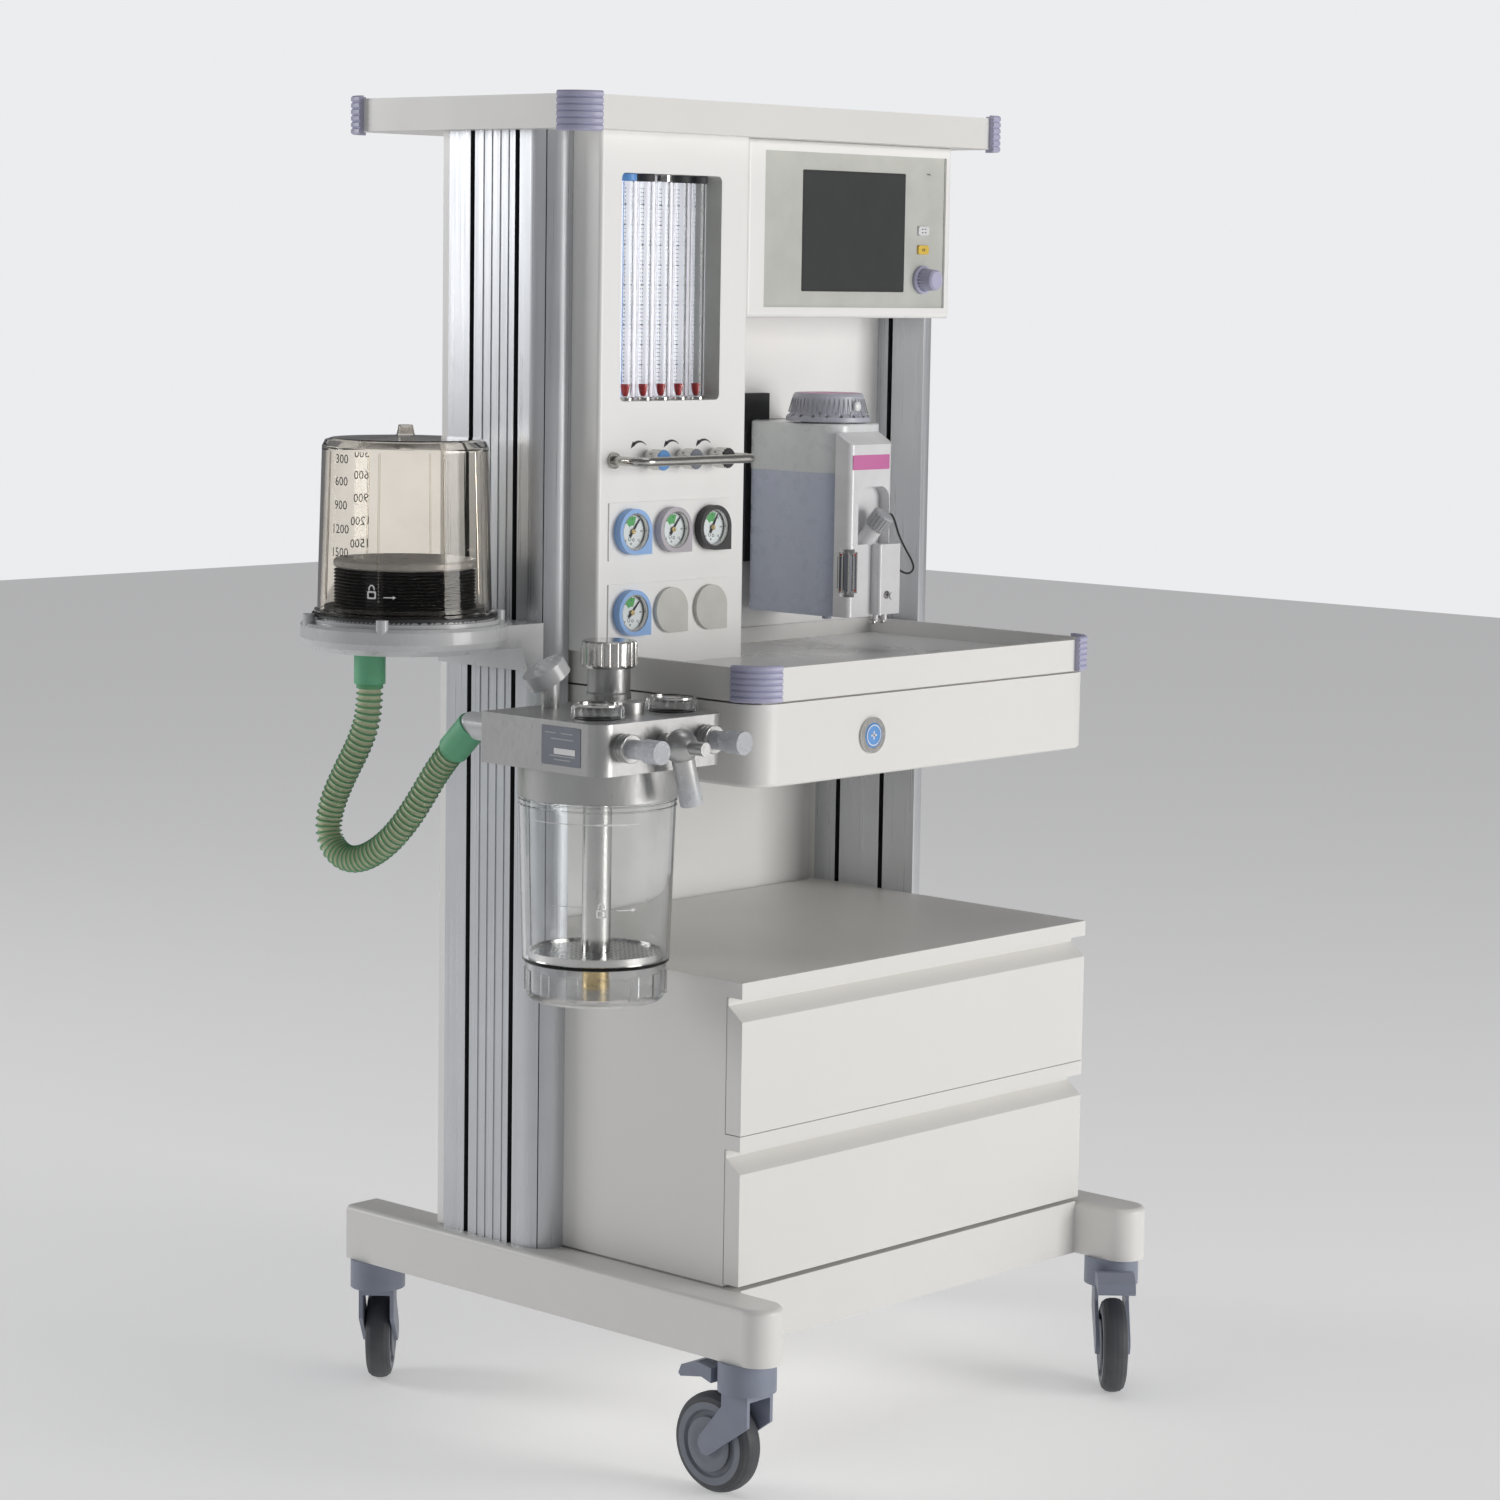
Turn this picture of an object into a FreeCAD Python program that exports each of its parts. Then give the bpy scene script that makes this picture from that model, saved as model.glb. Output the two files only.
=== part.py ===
"""Anesthesia machine: a wheeled trolley with columns, drawers, flowmeters, vaporizer and bellows.

Everything is laid out in trolley coordinates: x across the machine from its mid-plane, y from the
front to the back and z up from the floor.  origin_x and origin_y then move the whole machine so
that the part's origin is on the floor under the middle of its outline.  Millimetres and degrees.
"""
import FreeCAD, Part
import math
import os
import re

import Sketcher
from FreeCAD import Placement, Rotation, Vector

SIZES = {
    "origin_x": 94.5, "origin_y": -35.5, "slack": 0.05, "reveal": 0.5, "sheet_wall": 2.0,
    # casters
    "wheel_diameter": 100.0, "wheel_width": 28.0, "caster_trail": 37.5, "axle_radius": 4.0,
    "swivel_front": -232.4, "swivel_back": 303.4, "housing_radius": 29.0, "housing_height": 30.0,
    "stem_radius": 7.0, "stem_length": 32.0, "fork_cheek": 4.0,
    # base
    "beam_bottom": 140.0, "beam_height": 57.0, "beam_width": 48.0, "beam_front": -246.0,
    "beam_back": 327.0, "beam_edge": 6.0, "deck_thickness": 4.0,
    # columns
    "body_half": 270.0, "column_wide": 30.5, "column_front": 44.0, "column_back": 190.0,
    "nose_radius": 28.0, "slot_front": 91.5, "slot_back": 155.9, "slot_wide": 6.4, "slot_deep": 8.0,
    "channel_wall": 5.0, "rib_height": 0.9, "rib_wide": 4.5, "rib_pitch": 12.0,
    # cabinet and drawers
    "cabinet_front": -200.0, "cabinet_back": 188.0, "slab": 16.0, "cabinet_wall": 3.0,
    "front_thickness": 20.0, "grip_drop": 8.5, "grip_slope": 14.2, "front_gap": 0.8,
    "drawer_depth": 345.0, "tray_gap": 12.0,
    # rear panels
    "wall_front": 110.0, "rear_panel_front": 199.5, "rear_panel_back": 202.0,
    # worktop
    "worktop_front": -206.0, "worktop_radius": 30.0, "housing_bottom": 692.0, "rim_wall": 6.0,
    "worktop_back": 108.0, "flush_x": -93.5, "flush_ring_radius": 18.0, "flush_radius": 12.5,
    # top shelf
    "shelf_front": -19.0, "shelf_bottom": 1322.5, "shelf_height": 32.9, "shelf_radius": 26.0,
    "shelf_wall": 9.0, "shelf_floor": 3.5, "bumper_wall": 6.5, "bumper_over": 3.0,
    # flow panel
    "flow_front": 5.0, "window_deep": 42.0, "tube_pitch": 25.6, "tube_radius": 8.0,
    "tube_bore": 5.6, "tube_y": 26.0, "float_radius": 4.6, "float_height": 12.0, "knob_pitch": 47.0,
    "knob_radius": 10.5, "knob_length": 24.0, "knob_shaft": 3.0, "guard_reach": 40.0,
    "guard_radius": 4.6, "gauge_pitch": 58.0, "gauge_radius": 22.9, "gauge_depth": 9.0,
    "dial_radius": 18.6, "dial_deep": 6.0, "plate_half_wide": 87.5, "plate_half_high": 29.0,
    "plate_thick": 1.6,
    # display
    "display_front": 8.0, "plate_recess": 2.5, "screen_thick": 3.0, "button_wide": 17.0,
    "button_high": 9.5, "encoder_radius": 13.0, "encoder_length": 22.0,
    # vaporizer
    "vapor_front": -30.0, "vapor_back": 100.0, "vapor_radius": 22.0, "face_front": -52.0,
    "face_wall": 6.0, "low_front": -64.0, "dial_low_radius": 44.5, "dial_top_radius": 36.5,
    "dial_height": 30.0, "niche_deep": 13.0, "filler_y": -40.5, "filler_neck": 24.0,
    "filler_radius": 12.0, "filler_height": 19.0, "filler_tilt": 38.0, "filler_turn": -18.0,
    # bellows
    "bellows_y": 125.0, "base_radius": 102.5, "dome_wall": 2.6, "nub_height": 13.0,
    "disc_height": 8.8, "arm_back": 178.0, "cuff_radius": 15.5, "cuff_length": 38.0,
    # breathing block and absorber
    "block_front": -192.0, "block_back": -33.0, "block_radius": 17.0, "absorber_y": -102.0,
    "canister_radius": 76.0, "canister_wall": 3.2, "pipe_radius": 14.0, "pipe_wall": 1.5,
    "sieve_height": 7.0, "valve_radius": 25.0, "valve_height": 12.5, "valve_y": -148.0,
    "relief_y": -57.0, "relief_radius": 21.0, "relief_height": 34.0, "relief_knob_radius": 28.0,
    "relief_knob_height": 27.0, "port_radius": 13.0, "port_length": 14.0, "cap_radius": 11.2,
    "cap_length": 38.0, "elbow_reach": 22.0, "elbow_radius": 16.5, "outlet_radius": 11.0,
    "outlet_length": 58.0, "outlet_tilt": 16.0, "port_back_reach": 30.0, "hose_radius": 13.5,
    "lanyard_radius": 1.1,
}

# Places and sizes that follow others, so that what seats on a part moves with it.
LINKS = {
    # the trolley's width
    "beam_outer": "body_half + column_wide + 12.9", "swivel_x": "beam_outer - 23.8",
    "worktop_half": "body_half - 8", "shelf_half": "body_half + column_wide + 23.5",
    "shelf_back": "column_back + 129",
    # cabinet and worktop, from the base upwards
    "cabinet_bottom": "beam_bottom + beam_height + 1.7", "mid_rail_bottom": "cabinet_bottom + 137.3",
    "cabinet_top": "cabinet_bottom + 304.5", "seam_height": "housing_bottom + 83",
    "worktop_floor": "seam_height + 17", "worktop_rim": "worktop_floor + 16",
    "flush_z": "housing_bottom + 40.5",
    # flow panel, from its window's upper left corner
    "window_top": "shelf_bottom - 40.5", "window_bottom": "window_top - 225",
    "window_left": "-body_half + 29", "window_right": "window_left + 144",
    "flow_right": "window_right + 41", "tube_first": "window_left + 29",
    "knob_first": "window_left + 41", "knob_z": "window_bottom - 58",
    "guard_left": "knob_first - 49", "guard_right": "knob_first + 2 * knob_pitch + 23",
    "gauge_first": "window_left + 15.5", "gauge_upper": "knob_z - 71.2",
    "gauge_lower": "gauge_upper - 81.2",
    # display, from its plate's upper right corner
    "plate_top": "shelf_bottom - 11.5", "plate_bottom": "plate_top - 160",
    "display_bottom": "plate_bottom - 11", "plate_left": "flow_right + 27",
    "plate_right": "body_half - 10", "screen_right": "plate_right - 66",
    "screen_left": "screen_right - 161.5", "screen_top": "plate_top - 19",
    "screen_bottom": "screen_top - 123.4", "control_x": "plate_right - 35",
    "mute_z": "screen_top - 58.8", "standby_z": "mute_z - 20.2", "encoder_z": "standby_z - 32",
    # vaporizer, from its lower left corner
    "vapor_left": "flow_right + 99", "vapor_right": "vapor_left + 82",
    "vapor_bottom": "worktop_rim + 21.5", "vapor_seam": "vapor_bottom + 149.9",
    "vapor_top": "vapor_seam + 51.1", "face_left": "vapor_left + 0.5",
    "face_right": "vapor_left + 68", "face_top": "vapor_top - 8.5", "low_left": "vapor_left + 36",
    "low_right": "vapor_left + 70.5", "low_top": "vapor_bottom + 76.5",
    "dial_x": "vapor_left + 41", "dial_y": "vapor_front + 46.5",
    "niche_left": "vapor_left + 14", "niche_right": "vapor_left + 63",
    "niche_top": "vapor_seam - 13.4", "filler_x": "vapor_left + 32.6",
    "filler_z": "vapor_bottom + 74.8",
    # bellows, from the column's side and the worktop's rim
    "bellows_x": "-body_half - column_wide - 14 - base_radius", "base_bottom": "worktop_rim + 5",
    "base_top": "base_bottom + 33", "flange_radius": "base_radius - 13.5",
    "flange_top": "base_top + 11", "dome_radius": "flange_radius - 3",
    "dome_upper_radius": "dome_radius - 5.5", "dome_top": "flange_top + 163",
    "fold_radius": "dome_radius - 16", "fold_inner": "fold_radius - 8",
    "disc_bottom": "flange_top + 36.3", "arm_foot": "base_bottom - 23",
    "cuff_x": "bellows_x - 35", "cuff_y": "bellows_y + 12", "cuff_bottom": "base_bottom - 33.5",
    # breathing block and absorber, from the worktop's side and the casing's bottom
    "block_right": "-worktop_half - 28", "block_left": "block_right - 171",
    "block_bottom": "housing_bottom + 27", "block_top": "block_bottom + 49",
    "absorber_x": "block_right - 83", "collar_radius": "canister_radius + 1",
    "collar_bottom": "block_bottom - 32", "canister_low_radius": "canister_radius - 5",
    "canister_bottom": "collar_bottom - 160", "sieve_radius": "canister_low_radius - 6",
    "sieve_bottom": "canister_bottom + 5", "wheel_radius": "canister_low_radius - 3",
    "wheel_bottom": "canister_bottom - 37", "valve_right": "block_right - 30",
    "valve_left": "valve_right - 100", "relief_x": "block_right - 24",
    "port_right": "block_right - 30", "port_left": "port_right - 112",
    "port_z": "block_bottom + 26.5", "elbow_x": "port_right - 56",
    "elbow_z": "block_bottom + 25.5", "port_back_x": "block_left + 17",
    "port_back_z": "block_bottom + 31",
}

doc = FreeCAD.newDocument("anesthesia_machine")
sheet = doc.addObject("Spreadsheet::Sheet", "Sheet")
for row, (alias, value) in enumerate(SIZES.items(), start=1):
    sheet.set(f"A{row}", alias)
    sheet.set(f"B{row}", str(value))
    sheet.setAlias(f"B{row}", alias)
doc.recompute()

WORD = re.compile(r"[a-z_]+[a-z0-9_]*")


def formula(text):
    """The same expression with linked names written out and every alias as a cell of the sheet."""
    def written(match):
        word = match.group()
        if word in LINKS:
            return f"({formula(LINKS[word])})"
        return "Sheet." + word if word in SIZES else word

    return WORD.sub(written, str(text))


def size(text):
    """The value of an expression in aliases."""
    return float(sheet.evalExpression(formula(text)))


def bind(item, **places):
    """Binds properties to expressions in aliases; x, y and z stand for the item's position."""
    names = {"x": "Placement.Base.x", "y": "Placement.Base.y", "z": "Placement.Base.z"}
    for name, text in places.items():
        if name == "x":
            text = f"origin_x + {text}"
        if name == "y":
            text = f"origin_y + {text}"
        item.setExpression(names.get(name, name), formula(text))
    return item


def turned_to(direction):
    """A placement at the origin whose own Z axis points along direction."""
    return Placement(Vector(), Rotation(Vector(0, 0, 1), Vector(*direction)))


AXES = {"x": (1, 0, 0), "y": (0, 1, 0), "z": (0, 0, 1), "-y": (0, -1, 0), "-z": (0, 0, -1)}


def box(x, y, z):
    """A box between two expressions along each axis."""
    item = doc.addObject("Part::Box", "Box")
    return bind(item, x=x[0], y=y[0], z=z[0], Length=f"{x[1]} - ({x[0]})",
                Width=f"{y[1]} - ({y[0]})", Height=f"{z[1]} - ({z[0]})")


def rod(at, radius, height, along="z", sector=None):
    """A cylinder that starts at a point and runs along an axis."""
    item = doc.addObject("Part::Cylinder", "Rod")
    item.Placement = turned_to(AXES[along])
    if sector is not None:
        item.Angle = sector
    return bind(item, x=at[0], y=at[1], z=at[2], Radius=radius, Height=height)


def cut(base, *tools):
    """The base with every tool taken out of it."""
    item = doc.addObject("Part::Cut", "Cut")
    item.Base = base
    item.Tool = tools[0] if len(tools) == 1 else fuse(*tools)
    return item


def fuse(*shapes):
    """Several solids that touch or overlap, joined into one."""
    item = doc.addObject("Part::MultiFuse", "Fuse")
    item.Shapes = list(shapes)
    return item


def group(*shapes):
    """Several separate solids kept in one object."""
    item = doc.addObject("Part::Compound", "Group")
    item.Links = list(shapes)
    return item


def rounded(base, radius, pick):
    """Fillets the straight edges of base whose middle point and direction pick accepts."""
    doc.recompute()
    amount = size(radius)
    offset = Vector(size("origin_x"), size("origin_y"), 0)
    edges = []
    for number, edge in enumerate(base.Shape.Edges, start=1):
        ends = [v.Point for v in edge.Vertexes]
        if len(ends) == 2 and pick((ends[0] + ends[1]) / 2 - offset, ends[1] - ends[0]):
            edges.append((number, amount, amount))
    item = doc.addObject("Part::Fillet", "Fillet")
    item.Base = base
    item.Edges = edges
    return item


def upright(middle, along):
    """True for an edge that runs along Z."""
    return abs(along.z) > 0.99 * along.Length


def origin_item(body, role):
    """A plane or an axis of the body's own origin."""
    return next(item for item in body.Origin.OriginFeatures if item.Role == role)


def outline(body, plane, points):
    """A closed sketch of straight lines whose corners are pairs of expressions."""
    sketch = body.newObject("Sketcher::SketchObject", "Sketch")
    sketch.AttachmentSupport = [(origin_item(body, plane), "")]
    sketch.MapMode = "FlatFace"
    corners = [Vector(size(u), size(v), 0) for u, v in points]
    for number, corner in enumerate(corners):
        following = corners[(number + 1) % len(corners)]
        sketch.addGeometry(Part.LineSegment(corner, following), False)
    for number in range(len(corners)):
        following = (number + 1) % len(corners)
        sketch.addConstraint(Sketcher.Constraint("Coincident", number, 2, following, 1))
    for number, (corner, texts) in enumerate(zip(corners, points)):
        for kind, value, text in zip(("DistanceX", "DistanceY"), corner, texts):
            index = sketch.addConstraint(Sketcher.Constraint(kind, -1, 1, number, 1, value))
            if WORD.search(str(text)):
                sketch.setExpression(f"Constraints[{index}]", formula(text))
    return sketch


def lathe(points, at, along="z", sector=360.0):
    """A body of revolution about its own Z axis from (radius, height) corners."""
    body = doc.addObject("PartDesign::Body", "Turned")
    sketch = outline(body, "XZ_Plane", points)
    feature = body.newObject("PartDesign::Revolution", "Revolution")
    feature.Profile = sketch
    feature.ReferenceAxis = (sketch, ["V_Axis"])
    feature.Angle = sector
    body.Placement = turned_to(AXES.get(along, along))
    return bind(body, x=at[0], y=at[1], z=at[2])


def flute(body, count, distance, radius, height=None):
    """Cuts evenly spaced round grooves into the rim of a turned body."""
    doc.recompute()
    sketch = body.newObject("Sketcher::SketchObject", "Groove")
    sketch.AttachmentSupport = [(origin_item(body, "XY_Plane"), "")]
    sketch.MapMode = "FlatFace"
    sketch.addGeometry(Part.Circle(Vector(size(distance), 0, 0), Vector(0, 0, 1), size(radius)), False)
    for kind, text in (("Radius", radius), ("DistanceX", distance)):
        first = (0, size(text)) if kind == "Radius" else (-1, 1, 0, 3, size(text))
        index = sketch.addConstraint(Sketcher.Constraint(kind, *first))
        if WORD.search(str(text)):
            sketch.setExpression(f"Constraints[{index}]", formula(text))
    sketch.addConstraint(Sketcher.Constraint("PointOnObject", 0, 3, -1))
    pocket = body.newObject("PartDesign::Pocket", "Pocket")
    pocket.Profile = sketch
    if height is None:
        pocket.Type = "ThroughAll"
        pocket.Midplane = True
    else:
        pocket.Reversed = True
        pocket.setExpression("Length", formula(height))
    pattern = body.newObject("PartDesign::PolarPattern", "Around")
    pattern.Originals = [pocket]
    pattern.Axis = (origin_item(body, "Z_Axis"), [""])
    pattern.Angle = 360.0
    pattern.Occurrences = count
    body.Tip = pattern
    return body


def prism(plane, points, at, length):
    """A straight body padded from a closed outline on one of its own planes."""
    body = doc.addObject("PartDesign::Body", "Prism")
    sketch = outline(body, plane, points)
    pad = body.newObject("PartDesign::Pad", "Pad")
    pad.Profile = sketch
    pad.setExpression("Length", formula(length))
    return bind(body, x=at[0], y=at[1], z=at[2])


NODES = {}


def node(label, item):
    """Names a finished sub-part; its label is its file's name."""
    item.Label = label
    NODES[label] = item
    return item


# ---------------------------------------------------------------- casters

def caster(name, x, y, heading, pedal):
    """A swivel caster; heading is the direction, in degrees from +X, in which its wheel trails."""
    trail = Vector(math.cos(math.radians(heading)), math.sin(math.radians(heading)), 0)
    side = Vector(-trail.y, trail.x, 0)
    turn = Rotation(Vector(0, 0, 1), heading)

    def local(item, along="z"):
        """Turns an item that was drawn with +X as the trailing direction to the heading."""
        item.Placement = Placement(Vector(), turn * turned_to(AXES[along]).Rotation)
        return item

    def at(item, ahead, aside, height):
        """Binds an item's position by distances along the trail, across it and up."""
        return bind(item, x=f"{x} + ({ahead}) * {trail.x:.6f} + ({aside}) * {side.x:.6f}",
                    y=f"{y} + ({ahead}) * {trail.y:.6f} + ({aside}) * {side.y:.6f}", z=height)

    def local_box(ahead, aside, up):
        item = local(doc.addObject("Part::Box", "Box"))
        bind(item, Length=f"{ahead[1]} - ({ahead[0]})", Width=f"{aside[1]} - ({aside[0]})",
             Height=f"{up[1]} - ({up[0]})")
        return at(item, ahead[0], aside[0], up[0])

    def local_rod(ahead, aside, up, radius, length, along):
        item = local(doc.addObject("Part::Cylinder", "Rod"), along)
        bind(item, Radius=radius, Height=length)
        return at(item, ahead, aside, up)

    axle_height = "wheel_diameter / 2"
    cheek = "wheel_width / 2 + reveal"
    housing = rod((x, y, "beam_bottom - housing_height"), "housing_radius", "housing_height")
    stem = rod((x, y, "beam_bottom"), "stem_radius", "stem_length - 1")
    crown = local_box(("-housing_radius * 0.6", "caster_trail * 0.45"),
                      (f"-({cheek}) - fork_cheek", f"{cheek} + fork_cheek"),
                      ("wheel_diameter + 3", "beam_bottom - housing_height + 1"))
    cheeks = []
    for sign in (-1, 1):
        inner = f"{sign} * ({cheek} + fork_cheek / 2) - fork_cheek / 2"
        body = doc.addObject("PartDesign::Body", "Cheek")
        sketch = outline(body, "XZ_Plane", [
            ("-housing_radius * 0.6", "beam_bottom - housing_height"),
            ("-housing_radius * 0.6", "wheel_diameter * 0.78"),
            ("caster_trail - 9", f"{axle_height} - 6"),
            ("caster_trail - 3", f"{axle_height} - 10"),
            ("caster_trail + 5", f"{axle_height} - 9"),
            ("caster_trail + 10", f"{axle_height}"),
            ("caster_trail + 8", f"{axle_height} + 8"),
            ("caster_trail * 0.45", "wheel_diameter * 0.93"),
            ("caster_trail * 0.45", "beam_bottom - housing_height"),
        ])
        pad = body.newObject("PartDesign::Pad", "Pad")
        pad.Profile = sketch
        pad.setExpression("Length", formula("fork_cheek"))
        pad.Reversed = True
        at(local(body), "0", inner, "0")
        cheeks.append(body)
    axle = local_rod("caster_trail", f"-({cheek}) - fork_cheek", axle_height, "axle_radius",
                     "wheel_width + 2 * reveal + 2 * fork_cheek", "y")
    node(f"caster_fork_{name}", fuse(housing, stem, crown, axle, *cheeks))

    profile = [
        ("axle_radius + slack", "-wheel_width * 0.5"), ("wheel_diameter * 0.15", "-wheel_width * 0.5"),
        ("wheel_diameter * 0.16", "-wheel_width * 0.36"), ("wheel_diameter * 0.32", "-wheel_width * 0.36"),
        ("wheel_diameter * 0.34", "-wheel_width * 0.46"), ("wheel_diameter * 0.41", "-wheel_width * 0.46"),
        ("wheel_diameter * 0.46", "-wheel_width * 0.40"), ("wheel_diameter * 0.49", "-wheel_width * 0.26"),
        ("wheel_diameter * 0.5", "-wheel_width * 0.1"),
    ]
    mirrored = [(radius, text.replace("-", "", 1)) for radius, text in reversed(profile)]
    wheel = lathe(profile + mirrored, (x, y, "0"))
    wheel.Placement = Placement(Vector(), turn * turned_to(AXES["y"]).Rotation)
    node(f"caster_wheel_{name}", at(wheel, "caster_trail", "0", axle_height))

    if pedal:
        body = doc.addObject("PartDesign::Body", "Pedal")
        sketch = outline(body, "XZ_Plane", [
            ("housing_radius + reveal", "beam_bottom - housing_height + 4"),
            ("housing_radius + reveal", "beam_bottom - 11"),
            ("housing_radius + 20", "beam_bottom - 8"),
            ("caster_trail + 32", "beam_bottom - 15"),
            ("caster_trail + 36", "beam_bottom - 24"),
            ("caster_trail + 33", "beam_bottom - 27"),
            ("caster_trail + 5", "beam_bottom - 22"),
        ])
        pad = body.newObject("PartDesign::Pad", "Pad")
        pad.Profile = sketch
        pad.setExpression("Length", formula("wheel_width + 12"))
        pad.Reversed = True
        node(f"caster_pedal_{name}", at(local(body), "0", "-wheel_width / 2 - 6", "0"))


VIEW_TURN = 222.6
CASTERS = (
    ("front_left", "-swivel_x", "swivel_front", 90.0, True),
    ("front_right", "swivel_x", "swivel_front", VIEW_TURN, True),
    ("back_left", "-swivel_x", "swivel_back", VIEW_TURN - 180.0, False),
    ("back_right", "swivel_x", "swivel_back", 180.0 - (VIEW_TURN - 180.0), False),
)
for caster_settings in CASTERS:
    caster(*caster_settings)


# ---------------------------------------------------------------- base and columns

def base_frame():
    """Two long beams with round front ends, joined by a deck, a front skirt and a rear crossbar."""
    beam_top = "beam_bottom + beam_height"
    inner = "beam_outer - beam_width"
    beams = []
    for sign in ("-", ""):
        low = f"{sign}beam_outer" if sign else inner
        high = f"-({inner})" if sign else "beam_outer"
        beam = box((low, high), ("beam_front", "beam_back"), ("beam_bottom", beam_top))
        nose = rod((f"({low} + {high}) / 2", "beam_front", "beam_bottom"), "beam_width / 2",
                   "beam_height")
        top = size("beam_bottom + beam_height")
        long_beam = rounded(fuse(beam, nose), "beam_edge",
                            lambda middle, along, top=top: abs(middle.z - top) < 0.01
                            and abs(along.y) > 0.9 * along.Length)
        beams.append(long_beam)
    deck = box((f"-({inner})", inner), ("cabinet_front + sheet_wall", "column_back"),
               (f"{beam_top} - deck_thickness", beam_top))
    skirt = box((f"-({inner})", inner), ("cabinet_front", "cabinet_front + sheet_wall"),
                ("beam_bottom", beam_top))
    crossbar = box((f"-({inner})", inner), ("column_back - 40", "column_back"),
                   ("beam_bottom", f"{beam_top} - deck_thickness"))
    frame = fuse(deck, skirt, crossbar, *beams)
    sockets = [rod((x, y, "beam_bottom - 1"), "stem_radius + slack", "stem_length + 1")
               for _, x, y, _, _ in CASTERS]
    return cut(frame, *sockets)


def column(side):
    """An extruded column: a wide round outer front edge, two T-slots and ribs on both faces."""
    outer = "body_half + column_wide"
    if side < 0:
        faces = (f"-({outer})", "-body_half")
    else:
        faces = ("body_half", outer)
    blank = box(faces, ("column_front", "column_back"), ("beam_bottom + beam_height", "shelf_bottom"))
    nose_x = side * size(outer)
    front = size("column_front")

    def is_nose(middle, along):
        """The upright outer front edge."""
        return upright(middle, along) and abs(middle.x - nose_x) < 0.1 and abs(middle.y - front) < 0.1

    post = rounded(blank, "nose_radius", is_nose)
    slots = []
    for place in ("slot_front", "slot_back"):
        for face, depth in ((faces[0], "slot_deep"), (faces[1], "-slot_deep")):
            ends = (face, f"{face} + {depth}") if depth == "slot_deep" else (f"{face} - slot_deep", face)
            slots.append(box(ends, (f"{place} - slot_wide / 2", f"{place} + slot_wide / 2"),
                             ("beam_bottom + beam_height", "shelf_bottom")))
    ribs = []
    middle = "(slot_front + slot_back) / 2"
    face = faces[0] if side < 0 else faces[1]
    reach = (f"{face} - rib_height", f"{face} + 0.5") if side < 0 else (f"{face} - 0.5", f"{face} + rib_height")
    for step in (-1.5, -0.5, 0.5, 1.5):
        ribs.append(box(reach, (f"{middle} + ({step}) * rib_pitch - rib_wide / 2",
                                f"{middle} + ({step}) * rib_pitch + rib_wide / 2"),
                        ("beam_bottom + beam_height", "shelf_bottom")))
    channels = [box((f"{faces[0]} + channel_wall", f"{faces[1]} - channel_wall"), ends,
                    ("beam_bottom + beam_height", "shelf_bottom"))
                for ends in (("column_front + nose_radius * 0.4", "slot_front - slot_wide / 2 - channel_wall"),
                             ("slot_front + slot_wide / 2 + channel_wall",
                              "slot_back - slot_wide / 2 - channel_wall"),
                             ("slot_back + slot_wide / 2 + channel_wall", "column_back - channel_wall"))]
    return fuse(cut(post, *slots, *channels), *ribs)


def rear_panels():
    """The service cover behind the columns and the inner wall above the worktop."""
    edge = "body_half + column_wide - 3"
    cover = box((f"-({edge})", edge), ("column_back", "rear_panel_back"),
                ("beam_bottom + beam_height + 2", "shelf_bottom - 2"))
    hollow = box(("-body_half", "body_half"), ("column_back - 1", "rear_panel_front"),
                 ("beam_bottom + beam_height + 6", "shelf_bottom - 6"))
    wall = box(("-body_half", "body_half"), ("wall_front", "wall_front + sheet_wall"),
               ("housing_bottom", "shelf_bottom"))
    return group(cut(cover, hollow), wall)


node("base_frame", base_frame())
node("column_left", column(-1))
node("column_right", column(1))
node("rear_panels", rear_panels())


# ---------------------------------------------------------------- cabinet and drawers

BAYS = {"upper": ("mid_rail_bottom + slab - 1", "cabinet_top - slab"),
        "lower": ("cabinet_bottom + sheet_wall", "mid_rail_bottom")}


def cabinet_shell():
    """An open-fronted case whose slab and middle rail reach forward over the drawer fronts."""
    front_back = "cabinet_front + front_thickness + reveal"
    case = box(("-body_half", "body_half"), (front_back, "cabinet_back"), ("cabinet_bottom", "cabinet_top"))
    slab = box(("-body_half", "body_half"), ("cabinet_front", front_back), ("cabinet_top - slab", "cabinet_top"))
    rail = box(("-body_half", "body_half"), ("cabinet_front", front_back),
               ("mid_rail_bottom", "mid_rail_bottom + slab - 1"))
    levels = (("mid_rail_bottom + slab - 1", "cabinet_top - sheet_wall"),
              ("cabinet_bottom + sheet_wall", "mid_rail_bottom + slab - 1 - sheet_wall"))
    bays = [box(("-body_half + cabinet_wall", "body_half - cabinet_wall"),
                ("cabinet_front - 1", "cabinet_back - cabinet_wall"), ends) for ends in levels]
    open_case = cut(case, *bays)
    guides = []
    for low, _ in BAYS.values():
        for ends in (("-body_half + cabinet_wall - 0.5", "-body_half + tray_gap"),
                     ("body_half - tray_gap", "body_half - cabinet_wall + 0.5")):
            guides.append(box(ends, (front_back, "cabinet_back - 20"), (f"{low} + 40", f"{low} + 62")))
    return fuse(open_case, slab, rail, *guides)


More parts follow.
